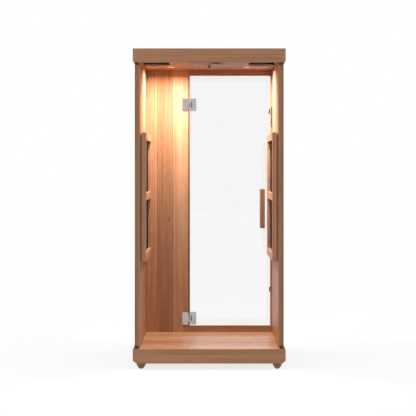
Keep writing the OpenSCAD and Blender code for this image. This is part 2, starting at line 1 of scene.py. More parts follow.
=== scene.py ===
"""The looks of a one-person infrared sauna cabin, from its feet up: base, floor, walls, roof,
heater guards, ceiling fittings and glass door. Everything is in metres, +Z up, the open rear
at -Y and the door at +Y."""

import bpy
import numpy as np
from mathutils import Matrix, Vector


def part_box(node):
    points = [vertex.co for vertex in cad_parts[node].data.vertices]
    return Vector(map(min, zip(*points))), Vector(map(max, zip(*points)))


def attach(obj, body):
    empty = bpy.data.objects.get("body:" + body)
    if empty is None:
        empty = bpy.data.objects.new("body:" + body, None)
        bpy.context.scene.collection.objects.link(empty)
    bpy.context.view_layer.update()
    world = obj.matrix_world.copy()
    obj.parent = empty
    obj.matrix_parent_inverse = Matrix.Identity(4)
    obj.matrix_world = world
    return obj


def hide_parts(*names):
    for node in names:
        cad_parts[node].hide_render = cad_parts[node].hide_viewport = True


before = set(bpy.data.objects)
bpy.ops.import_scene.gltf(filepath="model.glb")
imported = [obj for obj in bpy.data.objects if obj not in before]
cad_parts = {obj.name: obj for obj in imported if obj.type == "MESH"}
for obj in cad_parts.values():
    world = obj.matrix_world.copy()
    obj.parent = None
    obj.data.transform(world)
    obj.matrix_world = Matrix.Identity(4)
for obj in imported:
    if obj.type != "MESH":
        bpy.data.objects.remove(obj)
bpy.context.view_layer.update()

X, Y, Z = 0, 1, 2


# ---- Feet ----
# Four feet of softwood turned on a lathe: a bowl that stands on a small flat and flares out
# under the base. Each has a screw up into a corner block of the base frame.

FOOT_HEIGHT = 0.035
FOOT_REST = 0.011
FOOT_BOWL = 0.028
FOOT_TOP = 0.033
BOWL_SHARE = 0.77
PULL_OUT, PULL_UP = 0.76, 0.25
GRAIN_STEP = 0.21


def mesh_piece(name, points, faces, body, smooth=False, **numbers):
    """A mesh of these points and faces, which rides with a body. Each named set of numbers
    becomes an attribute with one number for each point."""
    mesh = bpy.data.meshes.new(name)
    mesh.from_pydata(np.asarray(points).tolist(), [], faces)
    for key, values in numbers.items():
        layer = mesh.attributes.new(key, "FLOAT", "POINT")
        layer.data.foreach_set("value", np.asarray(values, np.float32).ravel())
    if smooth:
        mesh.shade_smooth()
        mesh.set_sharp_from_angle(angle=np.radians(38))
    piece = bpy.data.objects.new(name, mesh)
    bpy.context.scene.collection.objects.link(piece)
    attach(piece, body)
    return piece


def turned(profile, centres, turns=64, axis=Z):
    """Points, faces and copy numbers of a shape turned on a lathe, one copy at each centre.
    A profile point (r, h) goes round as (r cos t, r sin t, h), with h along the axis. The
    profile runs up the outside from the axis to the axis, where fans of faces close it."""
    profile = np.asarray(profile, float)
    t = np.linspace(0, 2 * np.pi, turns, endpoint=False)
    r, h = profile[1:-1, :1], profile[1:-1, 1:]
    rings = np.stack([r * np.cos(t), r * np.sin(t), h + 0 * t], -1).reshape(-1, 3)
    one = np.vstack([[0, 0, profile[0, 1]], rings, [0, 0, profile[-1, 1]]])
    one = np.roll(one, axis + 1, 1)
    j = np.arange(turns)
    k = (j + 1) % turns
    i = 1 + turns * np.arange(len(profile) - 3)[:, None]
    quads = np.stack([i + j, i + k, i + turns + k, i + turns + j], -1).reshape(-1, 4)
    top = len(one) - 1
    fans = np.vstack([np.stack([0 * j, 1 + k, 1 + j], -1),
                      np.stack([0 * j + top, top - turns + j, top - turns + k], -1)])
    centres = np.asarray(centres, float)
    copies = np.arange(len(centres))
    points = (one[None] + centres[:, None]).reshape(-1, 3)
    shift = (copies * len(one))[:, None, None]
    faces = (quads + shift).reshape(-1, 4).tolist() + (fans + shift).reshape(-1, 3).tolist()
    return points, faces, np.repeat(copies, len(one))


def shader_node(tree, kind, settings=None, **inputs):
    """Adds a shader node. Settings are its options, and inputs are its sockets by name, or by
    number as i0, i1 and so on, each given as a plain value or as another node's output."""
    made = tree.nodes.new("ShaderNode" + kind)
    for key, value in (settings or {}).items():
        setattr(made, key, value)
    for key, value in inputs.items():
        at = int(key[1:]) if key[0] == "i" and key[1:].isdigit() else key.replace("_", " ")
        if isinstance(value, bpy.types.NodeSocket):
            tree.links.new(value, made.inputs[at])
        else:
            made.inputs[at].default_value = value
    return made


def sums(tree, kind, *terms, clamp=False):
    """The output of a Math node."""
    inputs = {f"i{n}": term for n, term in enumerate(terms)}
    return shader_node(tree, "Math", {"operation": kind, "use_clamp": clamp}, **inputs).outputs[0]


def blend_colours(tree, share, first, second):
    """The output of a Mix node that goes from one colour to another."""
    first, second = (c if isinstance(c, bpy.types.NodeSocket) else (*c, 1) for c in (first, second))
    return shader_node(tree, "Mix", {"data_type": "RGBA"}, i0=share, i6=first, i7=second).outputs[2]


def noise(tree, at, scale, detail=2.0, roughness=0.5):
    """The brightness of a Noise texture at these coordinates."""
    return shader_node(tree, "TexNoise", None, Vector=at, Scale=scale, Detail=detail,
                       Roughness=roughness).outputs[0]


def own_place(tree):
    """The coordinates of the piece itself."""
    return shader_node(tree, "TexCoord").outputs["Object"]


def new_material(name):
    """A material with a Principled shader: its node tree, and a function that sets the shader's
    sockets by name."""
    material = bpy.data.materials.new(name)
    material.use_nodes = True
    tree = material.node_tree
    shader = tree.nodes["Principled BSDF"]

    def finish(**inputs):
        for key, value in inputs.items():
            socket = shader.inputs[key.replace("_", " ")]
            if isinstance(value, bpy.types.NodeSocket):
                tree.links.new(value, socket)
            elif socket.type == "RGBA":
                socket.default_value = (*value, 1)
            else:
                socket.default_value = value
        return material

    return tree, finish


def timber(name, along, light, dark, matt=0.46, shine=0.5, knots=()):
    """Oiled softwood with its grain along one axis. Noise stretched along the grain gives broad
    streaks, fine lines and pores; lines of equal height in a slow noise give the arches of
    flat-sawn boards. Each board has its own place in the noise (board) and its own shade
    (tone), and its edges are paler where they are rubbed (wear). Knots are (x, y, z, radius)."""
    tree, finish = new_material(name)
    place = own_place(tree)
    axes = shader_node(tree, "SeparateXYZ", None, i0=place).outputs
    board, tone, wear = (
        shader_node(tree, "Attribute", {"attribute_name": key}).outputs["Fac"]
        for key in ("board", "tone", "wear"))
    length, side, depth = (
        sums(tree, "MULTIPLY_ADD", board, step, axes[(along + n) % 3])
        for n, step in enumerate((7.3, 3.1, 5.7)))

    def at(lengthwise, across, sway=0.0):
        parts = [sums(tree, "MULTIPLY", length, lengthwise)]
        for part in (side, depth):
            part = sums(tree, "ADD", part, sway) if sway else part
            parts.append(sums(tree, "MULTIPLY", part, across))
        return shader_node(tree, "CombineXYZ", None, i0=parts[0], i1=parts[1], i2=parts[2]).outputs[0]

    slow = noise(tree, at(1.1, 5.0), 1.0, 1.5)
    sway = sums(tree, "MULTIPLY_ADD", slow, 0.018, -0.009)
    broad = noise(tree, at(1.3, 42.0, sway), 1.0, 3.0)
    streaks = noise(tree, at(1.6, 120.0, sway), 1.0, 2.0)
    fine = noise(tree, at(7.0, 260.0, sway), 1.0, 3.0, 0.6)
    pores = noise(tree, at(60.0, 1900.0), 1.0, 1.0)
    arches = sums(tree, "SINE", sums(tree, "MULTIPLY", slow, 150.0))
    shade = sums(tree, "MULTIPLY_ADD", sums(tree, "SUBTRACT", broad, 0.5), 1.7, 0.5)
    shade = sums(tree, "MULTIPLY_ADD", sums(tree, "SUBTRACT", streaks, 0.5), 2.0, shade)
    shade = sums(tree, "MULTIPLY_ADD", sums(tree, "SUBTRACT", fine, 0.5), 1.1, shade)
    shade = sums(tree, "MULTIPLY_ADD", arches, 0.09, shade)
    colour = blend_colours(tree, sums(tree, "ADD", shade, 0.0, clamp=True), dark, light)
    value = sums(tree, "ADD", tone, 1.0)
    colour = shader_node(tree, "HueSaturation", None, Value=value, Color=colour).outputs[0]
    pore_dark = sums(tree, "LESS_THAN", pores, 0.36)
    in_pore = sums(tree, "MULTIPLY", pore_dark, 0.16)
    colour = blend_colours(tree, in_pore, colour, tuple(0.55 * c for c in dark))
    for x, y, z, radius in knots:
        squeezed = [1.0, 1.0, 1.0]
        squeezed[along] = 0.45
        off = shader_node(tree, "VectorMath", {"operation": "SUBTRACT"}, i0=place, i1=(x, y, z)).outputs[0]
        off = shader_node(tree, "VectorMath", {"operation": "MULTIPLY"}, i0=off, i1=squeezed).outputs[0]
        away = shader_node(tree, "VectorMath", {"operation": "LENGTH"}, i0=off).outputs["Value"]
        away = sums(tree, "MULTIPLY_ADD", sums(tree, "SUBTRACT", fine, 0.5), radius, away)
        in_knot = shader_node(tree, "MapRange", {"interpolation_type": "SMOOTHSTEP"}, i0=away, i1=radius,
                              i2=0.3 * radius, i3=0.0, i4=0.65).outputs[0]
        colour = blend_colours(tree, in_knot, colour, (0.165, 0.053, 0.022))
    rubbed = sums(tree, "MULTIPLY", wear, sums(tree, "MULTIPLY", broad, 0.35))
    colour = blend_colours(tree, rubbed, colour, tuple(min(1.3 * c, 1) for c in light))
    rough = sums(tree, "MULTIPLY_ADD", fine, 0.22, matt - 0.11)
    relief = sums(tree, "MULTIPLY_ADD", pore_dark, -0.5, sums(tree, "ADD", fine, broad))
    bump = shader_node(tree, "Bump", None, Strength=0.35, Distance=0.0005, Height=relief).outputs[0]
    return finish(Base_Color=colour, Roughness=rough, Normal=bump, IOR=1.5, Specular_IOR_Level=shine)


def dress(piece, material, slot, *stands_for):
    """Gives a piece its material and hides the CAD nodes it stands for. The slot is not used."""
    piece.data.materials.append(material)
    if stands_for:
        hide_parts(*stands_for)
    return piece


OUTSIDE_LIGHT, OUTSIDE_DARK = (0.518, 0.254, 0.126), (0.372, 0.166, 0.076)
outside = {axis: timber(f"outside_timber_{'xyz'[axis]}", axis, OUTSIDE_LIGHT, OUTSIDE_DARK)
           for axis in (X, Y, Z)}

# The bowl is a quadratic curve from the flat to the widest point, pulled towards (PULL_OUT,
# PULL_UP), and the flare above it is a quarter of an ellipse.
t = np.linspace(0, 1, 15)
bowl_height = BOWL_SHARE * FOOT_HEIGHT
start, pull, end = (1 - t) ** 2, 2 * t * (1 - t), t**2
bowl = np.stack([start * FOOT_REST + pull * PULL_OUT * FOOT_BOWL + end * FOOT_BOWL,
                 pull * PULL_UP * FOOT_HEIGHT + end * bowl_height], -1)
t = np.linspace(0, np.pi / 2, 9)[1:]
flare = np.stack([FOOT_BOWL + (FOOT_TOP - FOOT_BOWL) * (1 - np.cos(t)),
                  bowl_height + (FOOT_HEIGHT - bowl_height) * np.sin(t)], -1)
foot_profile = np.vstack([[0, 0], bowl, flare, [0, FOOT_HEIGHT]])
low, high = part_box("feet")
foot_centres = [(x, y, 0) for x in (low.x + FOOT_TOP, high.x - FOOT_TOP)
                for y in (low.y + FOOT_TOP, high.y - FOOT_TOP)]
points, faces, copy = turned(foot_profile, foot_centres)
feet = mesh_piece("turned_feet", points, faces, "cabin", smooth=True,
                  board=copy * GRAIN_STEP, tone=0 * copy, wear=0 * copy)
dress(feet, outside[Z], "wood", "feet")


# ---- Base ----
# A frame of softwood boards on edge, with blocks in its corners and two joists. Its boards
# are glued and screwed, and the lower edge is bevelled all round.

EASE = 0.0012
WEAR_WIDTH = 0.005
BEVEL_IN, BEVEL_UP = 0.011, 0.0089
CORNER_EASE, BEVEL_EASE = 0.0004, 0.0015


def round_outline(corners, edges, arc=2):
    """An outline, anticlockwise, with each corner eased. A corner's curve starts and ends at
    its own distance (edge) along its two sides, and is the quadratic curve between them."""
    corners = np.asarray(corners, float)
    edges = np.broadcast_to(np.asarray(edges, float), len(corners))[:, None]
    onward, back = (d / np.linalg.norm(d, axis=1, keepdims=True)
                    for d in (np.roll(corners, n, 0) - corners for n in (-1, 1)))
    t = np.linspace(0, 1, arc + 1)[None, :, None]
    a, b, c = (corners + edges * back)[:, None], corners[:, None], (corners + edges * onward)[:, None]
    return ((1 - t) ** 2 * a + 2 * t * (1 - t) * b + t**2 * c).reshape(-1, 2)


def ring_faces(rings, size, copies):
    """Faces of closed shapes. Each is a number of rings of this size, one after another, with a
    flat cap on the first ring and on the last."""
    m = np.arange(size)
    k = (m + 1) % size
    ring = size * np.arange(rings - 1)[:, None]
    quads = np.stack([ring + m, ring + k, ring + size + k, ring + size + m], -1).reshape(-1, 4)
    caps = np.stack([m[::-1], (rings - 1) * size + m])
    shift = (np.arange(copies) * rings * size)[:, None, None]
    return (quads + shift).reshape(-1, 4).tolist() + (caps + shift).reshape(-1, size).tolist()


def carried(outlines, worn, starts, ends, along, ease=EASE, steps=2, lean=(0.0, 0.0)):
    """Points, faces, piece numbers and wear of straight lengths, each an outline carried along
    one axis. Over the last part of each end the outline moves in by ease (1 - sin t) while it
    moves along by ease (1 - cos t), which rounds the end. Lean shifts the points of the
    outline along the axis at the start and at the end, for mitres."""
    side = np.roll(outlines, -1, 1) - outlines
    normal = np.stack([side[..., 1], -side[..., 0]], -1)
    normal /= np.linalg.norm(normal, axis=-1, keepdims=True)
    before = np.roll(normal, 1, 1)
    corner = (normal + before) / (1 + (normal * before).sum(-1, keepdims=True))
    t = np.linspace(0, np.pi / 2, steps + 1)
    inset = np.append(ease * (1 - np.sin(t)), 0)
    onward = np.append(ease * (1 - np.cos(t)), ease + WEAR_WIDTH)
    end_wear = np.append(np.ones(steps + 1), 0)
    half = len(inset)
    inset, end_wear = (np.concatenate([a, a[::-1]]) for a in (inset, end_wear))
    starts, ends = np.asarray(starts, float)[:, None], np.asarray(ends, float)[:, None]
    onward = np.minimum(onward, 0.4 * (ends - starts))
    travel = np.concatenate([starts + onward, ends - onward[:, ::-1]], 1)
    count, size = outlines.shape[:2]
    points = np.zeros((count, 2 * half, size, 3))
    across = outlines[:, None] - corner[:, None] * inset[None, :, None, None]
    points[..., (along + 1) % 3] = across[..., 0]
    points[..., (along + 2) % 3] = across[..., 1]
    points[..., along] = travel[:, :, None]
    points[:, :half, :, along] += lean[0]
    points[:, half:, :, along] += lean[1]
    wear = np.maximum(worn, end_wear[:, None]) + np.zeros((count, 1, 1))
    number = np.repeat(np.arange(count), 2 * half * size)
    return points.reshape(-1, 3), ring_faces(2 * half, size, count), number, wear.reshape(-1)


def finish_node(name, material):
    """Gives a CAD node, whose shape is already right, its finish."""
    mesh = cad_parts[name].data
    if not mesh.materials:
        mesh.materials.append(material)
    for n in range(len(mesh.materials)):
        mesh.materials[n] = material


low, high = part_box("base_rear_board")
section = [[low.z + BEVEL_UP, low.x], [high.z, low.x], [high.z, high.x], [low.z + BEVEL_UP, high.x],
           [low.z, high.x - BEVEL_IN], [low.z, low.x + BEVEL_IN]]
eased = [BEVEL_EASE, CORNER_EASE, CORNER_EASE, BEVEL_EASE, BEVEL_EASE, BEVEL_EASE]
outline = round_outline(section, eased)[None]
points, faces, number, wear = carried(outline, np.ones(outline.shape[1]), [low.y], [high.y], Y)
piece = mesh_piece("rear_base_board", points, faces, "cabin",
                   board=0 * wear + 0.4, tone=0 * wear - 0.12, wear=wear)
dress(piece, outside[X], "wood", "base_rear_board")
for node, along in (("base_front_board", X), ("base_joists", Y), ("base_corner_blocks", Z)):
    finish_node(node, outside[along])


# ---- Floor ----
# Softwood boards laid across the cabin from wall to wall and nailed to the base frame. They
# are planed smooth and lightly oiled, and their colour changes from board to board.

INSIDE_LIGHT, INSIDE_DARK = (0.500, 0.232, 0.112), (0.335, 0.143, 0.065)
inside = {axis: timber(f"inside_timber_{'xyz'[axis]}", axis, INSIDE_LIGHT, INSIDE_DARK)
          for axis in (X, Y, Z)}


def eased_outlines(low, high, along, edge, arc=2):
    """Outlines of boards across their length, anticlockwise, and how worn each point is. Each
    corner is a quarter circle, c + edge (cos t, sin t), with a point a little way along the
    flat on either side of it, where the wear has faded."""
    across = [(along + 1) % 3, (along + 2) % 3]
    low, high = low[:, across], high[:, across]
    fade = np.minimum(WEAR_WIDTH, 0.45 * (high - low - 2 * edge))
    parts, worn = [], []
    for corner, (b, c) in enumerate(((1, 1), (-1, 1), (-1, -1), (1, -1))):
        signs = np.array([b, c])
        centre = np.where(signs > 0, high, low) - signs * edge
        t = corner * np.pi / 2 + np.linspace(0, np.pi / 2, arc + 1)
        ring = centre[:, None] + edge * np.stack([np.cos(t), np.sin(t)], -1)[None]
        start = np.array([-np.sin(t[0]), np.cos(t[0])])
        end = np.array([-np.sin(t[-1]), np.cos(t[-1])])
        parts += [ring[:, :1] - (start * fade)[:, None], ring, ring[:, -1:] + (end * fade)[:, None]]
        worn += [0] + [1] * (arc + 1) + [0]
    return np.concatenate(parts, 1), np.array(worn, float)


def boards(name, low, high, along, tones=0.1, edge=EASE, ease=EASE, seed=1, body="cabin", arc=2,
           smooth=False):
    """Straight boards with eased edges between pairs of corners. Each board gets its own number
    for the grain and its own shade, given or drawn between the limits."""
    low, high = np.atleast_2d(low).astype(float), np.atleast_2d(high).astype(float)
    outlines, worn = eased_outlines(low, high, along, edge, arc)
    points, faces, number, wear = carried(outlines, worn, low[:, along], high[:, along], along, ease)
    draw = np.random.default_rng(seed)
    own = draw.random(len(low))
    shades = draw.uniform(-tones, tones, len(low)) if np.isscalar(tones) else np.asarray(tones, float)
    return mesh_piece(name, points, faces, body, smooth, board=own[number], tone=shades[number], wear=wear)


def side_by_side(node, across, edges, gap=0.0):
    """Corners of boards that fill a CAD node's box and lie side by side between these edges
    across it, with a gap between each two."""
    low, high = (np.array(corner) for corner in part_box(node))
    lows, highs = np.tile(low, (len(edges) - 1, 1)), np.tile(high, (len(edges) - 1, 1))
    lows[:, across], highs[:, across] = edges[:-1], edges[1:]
    lows[1:, across] += gap / 2
    highs[:-1, across] -= gap / 2
    return lows, highs


low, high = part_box("floor_panel")
floor_edges = np.array([low.y, -0.308, -0.194, -0.090, 0.014, 0.101, 0.189, 0.294, high.y])
floor_tones = [0.20, 0.02, -0.17, -0.07, 0.14, 0.10, -0.06, 0.14]
floor_timber = timber("floor_timber", X, (0.520, 0.270, 0.141), (0.356, 0.168, 0.083), matt=0.27, shine=0.7)
piece = boards("floor_boards", *side_by_side("floor_panel", Y, floor_edges), X, floor_tones)
dress(piece, floor_timber, "wood_light", "floor_panel")


# ---- Side walls ----
# Each wall is two skins of upright tongued and grooved boards on a frame of studs between a
# sole plate and a head plate. The rear ends are open, so the layers and the plates show.

WALL_BOARDS = 8
BOARD_GAP = 0.0017
BOARD_EDGE = 0.0018
TONGUE_SHARE = 0.35
TONGUE_REACH = 0.7 * BOARD_GAP
TONGUE_EDGE = 0.0001
# The tongues are dark. In the seams between boards this is painted shade, and beside the jamb it is the
# strip's own darker wood.
SEAM_SHADE_AND_STRIP_TONE = -0.75
CUT_EDGE_TONE = -0.34
STUD_SHADE = 0.8
CLADDING_TONES = [-0.04, 0.03, -0.02, 0.04, -0.03, 0.02, -0.04, 0.01]
LINING_TONES = [0.02, -0.03, 0.04, -0.02, 0.03, -0.04, 0.02, -0.01]


def even_edges(node, across, count):
    """Edges that part a CAD node's box into this many equal boards."""
    low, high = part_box(node)
    return np.linspace(low[across], high[across], count + 1)


def tongues(name, node, across, seams, along):
    """The tongues of boards that lie side by side in a CAD node's box. Each one closes the gap
    at a seam between two boards and is a share of their thickness, in its middle. Each is given
    a dark tone, as painted shade in its seam."""
    low, high = (np.array(corner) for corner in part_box(node))
    lows, highs = np.tile(low, (len(seams), 1)), np.tile(high, (len(seams), 1))
    lows[:, across], highs[:, across] = (np.asarray(seams) + side * TONGUE_REACH for side in (-1, 1))
    through = 3 - across - along
    inset = 0.5 * (1 - TONGUE_SHARE) * (high - low)[through]
    lows[:, through] += inset
    highs[:, through] -= inset
    tones = [SEAM_SHADE_AND_STRIP_TONE] * len(lows)
    return boards(name, lows, highs, along, tones, edge=TONGUE_EDGE, ease=TONGUE_EDGE)


def darken_rear_edge(piece):
    """The rearmost cut edge takes more oil than the faces, so the points there are darker."""
    mesh = piece.data
    y = np.empty(3 * len(mesh.vertices), np.float32)
    mesh.vertices.foreach_get("co", y)
    y = y[1::3]
    tone = np.empty(len(y), np.float32)
    mesh.attributes["tone"].data.foreach_get("value", tone)
    tone[y < y.min() + 0.5 * BOARD_EDGE] = CUT_EDGE_TONE
    mesh.attributes["tone"].data.foreach_set("value", tone)


for side in ("left", "right"):
    for skin, timbers, slot, tones, seed in (("cladding", outside, "wood", CLADDING_TONES, 11),
                                             ("lining", inside, "wood_light", LINING_TONES, 13)):
        node = f"{side}_wall_{skin}"
        edges = even_edges(node, Y, WALL_BOARDS)
        piece = boards(f"{side}_{skin}_boards", *side_by_side(node, Y, edges, BOARD_GAP), Z, tones,
                       edge=BOARD_EDGE, seed=seed + (side == "right"))
        if skin == "cladding":
            darken_rear_edge(piece)
        dress(piece, timbers[Z], slot, node)
        dress(tongues(f"{side}_{skin}_tongues", node, Y, edges[1:-1], Z), timbers[Z], slot)
stud_light, stud_dark = (tuple(STUD_SHADE * c for c in colour) for colour in (OUTSIDE_LIGHT, OUTSIDE_DARK))
finish_node("side_wall_studs", timber("stud_timber", Z, stud_light, stud_dark, matt=0.6))
# The plates' timber is paler than the rest of the frame: painted light that lifts their ends out of the
# shade of the recess they sit back in.
plate_timber_painted_light = timber("plate_timber_painted_light", Y, (0.66, 0.34, 0.18), (0.50, 0.23, 0.11), matt=0.6)
finish_node("side_wall_plates", plate_timber_painted_light)


# ---- Front wall ----
# The boarded panel beside the door, the thicker jamb board that carries the hinges with a
# tongue beside it, and the header, sill and strike strip round the doorway, on a frame of
# posts and rails.

FRONT_SEAM = -0.341
JAMB_EDGE = -0.140
TONGUE_BACK = 0.0025
TONGUE_FRONT = 0.005
TONGUE_CUT = 0.0185
PLATE_HALF = 0.041
STRIP_EDGE = 0.0006

low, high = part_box("front_wall_lining")
front_edges = [low.x, FRONT_SEAM, high.x - BOARD_GAP]
knots = [(-0.265, low.y, 0.864, 0.011), (-0.272, low.y, 0.581, 0.007), (-0.372, low.y, 1.24, 0.005)]
front_timber = timber("front_timber", Z, INSIDE_LIGHT, INSIDE_DARK, knots=knots)
piece = boards("front_lining_boards", *side_by_side("front_wall_lining", X, front_edges, BOARD_GAP), Z,
               [-0.06, -0.30], edge=BOARD_EDGE, seed=21)
dress(piece, front_timber, "wood_light", "front_wall_lining")
piece = tongues("front_lining_tongues", "front_wall_lining", X, [FRONT_SEAM, high.x - BOARD_GAP / 2], Z)
dress(piece, front_timber, "wood_light")

low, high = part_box("front_jamb_board")
piece = boards("jamb_board", low, [JAMB_EDGE, high.y, high.z], Z, [0.0], seed=22)
jamb_timber = timber("jamb_timber", Z, (0.455, 0.240, 0.124), (0.328, 0.156, 0.078))
dress(piece, jamb_timber, "wood_light", "front_jamb_board")
hinge_low, hinge_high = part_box("hinge_wall_plates")
hinge_heights = np.array([hinge_low.z + PLATE_HALF, hinge_high.z - PLATE_HALF])
sill_top, header_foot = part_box("front_sill")[1].z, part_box("front_header")[0].z
starts = np.array([sill_top, *(hinge_heights + TONGUE_CUT)])
ends = np.array([*(hinge_heights - TONGUE_CUT), header_foot])
lows = [[JAMB_EDGE, low.y + TONGUE_BACK, z] for z in starts]
highs = [[high.x, high.y - TONGUE_FRONT, z] for z in ends]
piece = boards("jamb_tongue", lows, highs, Z, [SEAM_SHADE_AND_STRIP_TONE] * len(lows), edge=STRIP_EDGE,
               ease=STRIP_EDGE, seed=23)
dress(piece, inside[Z], "wood_light")
for node, along, tone in (("front_header", X, -0.38), ("front_sill", X, -0.28),
                          ("front_strike_strip", Z, 0.0)):
    piece = boards(node + "_board", *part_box(node), along, [tone], seed=24)
    dress(piece, inside[along], "wood_light", node)
finish_node("front_frame_posts", outside[Z])
finish_node("front_frame_rails", outside[X])

# Outside, three boards cover the panel beside the door and one covers the strip past it.
low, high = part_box("front_cladding_sides")
rail_low, rail_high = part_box("front_cladding_rails")
edges = np.append(np.linspace(low.x, rail_low.x, 4), [rail_high.x, high.x])
lows = np.array([[x, low.y, low.z] for x in edges[[0, 1, 2, 4]]])
highs = np.array([[x, high.y, high.z] for x in edges[[1, 2, 3, 5]]])
lows[1:3, X] += BOARD_GAP / 2
highs[0:2, X] -= BOARD_GAP / 2
piece = boards("front_cladding_boards", lows, highs, Z, 0.05, edge=BOARD_EDGE, seed=25)
dress(piece, outside[Z], "wood", "front_cladding_sides")
dress(tongues("front_cladding_tongues", "front_cladding_sides", X, edges[1:3], Z), outside[Z], "wood")
finish_node("front_cladding_rails", outside[X])


# ---- Roof ----
# A smooth ceiling board, a box of boards on edge round the loft above it, and a boarded top.
# The deep fascia closes the loft at the open rear.

ROOF_BOARDS = 8
FASCIA_EDGE = 0.0015

ceiling_timber = timber("ceiling_timber", X, (0.355, 0.196, 0.104), (0.240, 0.122, 0.062), shine=0.1)
finish_node("ceiling_panel", ceiling_timber)
fascia = boards("rear_fascia", *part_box("roof_rear_fascia"), X, [0.0], edge=FASCIA_EDGE, seed=31)
dress(fascia, outside[X], "wood", "roof_rear_fascia")
finish_node("roof_front_board", outside[X])
finish_node("roof_side_boards", outside[Y])
roof_edges = even_edges("roof_panel", X, ROOF_BOARDS)
piece = boards("roof_boards", *side_by_side("roof_panel", X, roof_edges, BOARD_GAP), Y, 0.05,
               edge=BOARD_EDGE, seed=32)
dress(piece, outside[Y], "wood", "roof_panel")
dress(tongues("roof_tongues", "roof_panel", X, roof_edges[1:-1], Y), outside[Y], "wood")


# ---- Trims ----
# Planted mouldings round the base and the roof, cut from board with their edges bevelled,
# mitred at the front corners and pinned through to the boards behind.

TRIM_TIP = 0.001
BASE_BEVEL = 0.025
ROOF_BEVEL = 0.019
FOOT_BEVEL = 0.0081
MITRE_JOINT = 0.0002
TRIM_EASE = 0.0012
TIP_EASE = 0.0003
TRIM_WEAR = 0.6


def joined(*shapes):
    """Points and faces of several shapes as one."""
    faces, start = [], 0
    for points, own in shapes:
        faces += [[i + start for i in face] for face in own]
        start += len(points)
    return np.concatenate([points for points, own in shapes]), faces


def mitred_trims(section, edges, side_node, front_node):
    """Left, right and front trims from one section of (out, height) corners. The side trims
    run along Y and the front one along X; out from the wall becomes -X, +X or +Y, and the
    ends that meet lean by the same amount as they stand out, which makes the mitre."""
    low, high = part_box(side_node)
    depth = section[:, 0].max()
    wall, front = high.x - depth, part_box(front_node)[1].y - depth
    ring = round_outline(section, edges)
    worn = np.full(len(ring), TRIM_WEAR)
    out, up = ring.T
    ends = [front - MITRE_JOINT]
    runs = [(np.stack([up, wall + out], -1)[::-1], [low.y], ends, Y, (0.0, out[::-1])),
            (np.stack([up, -wall - out], -1), [low.y], ends, Y, (0.0, out)),
            (np.stack([front + out, up], -1), [MITRE_JOINT - wall], [wall - MITRE_JOINT], X, (-out, out))]
    made = [carried(outline[None], worn, start, end, along, ease=TIP_EASE, lean=lean)
            for outline, start, end, along, lean in runs]
    points, faces = joined(*(shape[:2] for shape in made))
    number = np.repeat(np.arange(len(made)), len(made[0][0]))
    return points, faces, number, np.concatenate([shape[3] for shape in made])


trim_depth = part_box("base_side_trims")[1].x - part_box("roof_rear_fascia")[1].x
for name, bevel in (("base", BASE_BEVEL), ("roof", ROOF_BEVEL)):
    side_node, front_node = f"{name}_side_trims", f"{name}_front_trim"
    foot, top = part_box(side_node)[0].z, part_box(side_node)[1].z
    if name == "base":
        section = [[0, foot], [trim_depth, foot + FOOT_BEVEL], [trim_depth, top - bevel],
                   [TRIM_TIP, top], [0, top]]
        eased = [TRIM_EASE] * 3 + [TIP_EASE] * 2
    else:
        section = [[0, foot], [TRIM_TIP, foot], [trim_depth, foot + bevel], [trim_depth, top], [0, top]]
        eased = [TIP_EASE] * 2 + [TRIM_EASE] * 3
    points, faces, number, wear = mitred_trims(np.array(section), eased, side_node, front_node)
    trims = mesh_piece(f"{name}_trims", points, faces, "cabin",
                       board=0.31 * number + bevel, tone=0 * wear, wear=wear)
    dress(trims, outside[Y], "wood", side_node, front_node)
    trims.data.materials.append(outside[X])
    across = number[[face[0] for face in faces]] == 2
    trims.data.polygons.foreach_set("material_index", across.astype(np.int32))


# ---- Heater guards ----
# Ladder frames of planed softwood that keep the sitter off the heaters. Stiles and rails are
# dowelled together and stand off the wall on cleats.

GUARD_THICK = 0.025
RAIL_HEIGHT = 0.044
GUARD_EDGE = 0.0015

low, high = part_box("heater_stiles")
rail_low, rail_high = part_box("heater_rails")
rail_middle = 0.5 * (low.z + high.z)
stile_lows, stile_highs, rail_lows, rail_highs = [], [], [], []
for a, b in ((low.x, low.x + GUARD_THICK), (high.x - GUARD_THICK, high.x)):
    stile_lows += [[a, low.y, low.z], [a, rail_high.y, low.z]]
    stile_highs += [[b, rail_low.y, high.z], [b, high.y, high.z]]
    for z in (low.z, rail_middle - RAIL_HEIGHT / 2, high.z - RAIL_HEIGHT):
        rail_lows.append([a, rail_low.y, z])
        rail_highs.append([b, rail_high.y, z + RAIL_HEIGHT])
stiles = boards("guard_stiles", stile_lows, stile_highs, Z, 0.04, edge=GUARD_EDGE, seed=51)
dress(stiles, inside[Z], "wood_light", "heater_stiles")
rails = boards("guard_rails", rail_lows, rail_highs, Y, 0.04, edge=GUARD_EDGE, seed=52)
dress(rails, inside[Y], "wood_light", "heater_rails")
finish_node("heater_cleats", outside[Z])


# ---- Heaters ----
# Flat far-infrared panels: a shallow dark tray in each opening of a guard, faced with a fine
# woven cloth, on a flange that bears on the back of the guard.

tree, finish = new_material("heater_cloth")
place = own_place(tree)
warp, weft = (shader_node(tree, "TexWave", {"wave_type": "BANDS", "bands_direction": way}, Vector=place,
                          Scale=75.0, Distortion=0.4, Detail=1.0).outputs["Fac"] for way in "YZ")
weave = sums(tree, "MAXIMUM", warp, weft)
patch = noise(tree, place, 9.0, 3.0)
raised = sums(tree, "MULTIPLY", weave, patch, clamp=True)
colour = blend_colours(tree, raised, (0.012, 0.009, 0.008), (0.045, 0.036, 0.031))
bump = shader_node(tree, "Bump", None, Strength=0.5, Distance=0.0006, Height=weave).outputs[0]
rough = sums(tree, "MULTIPLY_ADD", patch, 0.15, 0.75)
heater_cloth = finish(Base_Color=colour, Roughness=rough, Normal=bump, Specular_IOR_Level=0.05)
finish_node("heater_panels", heater_cloth)


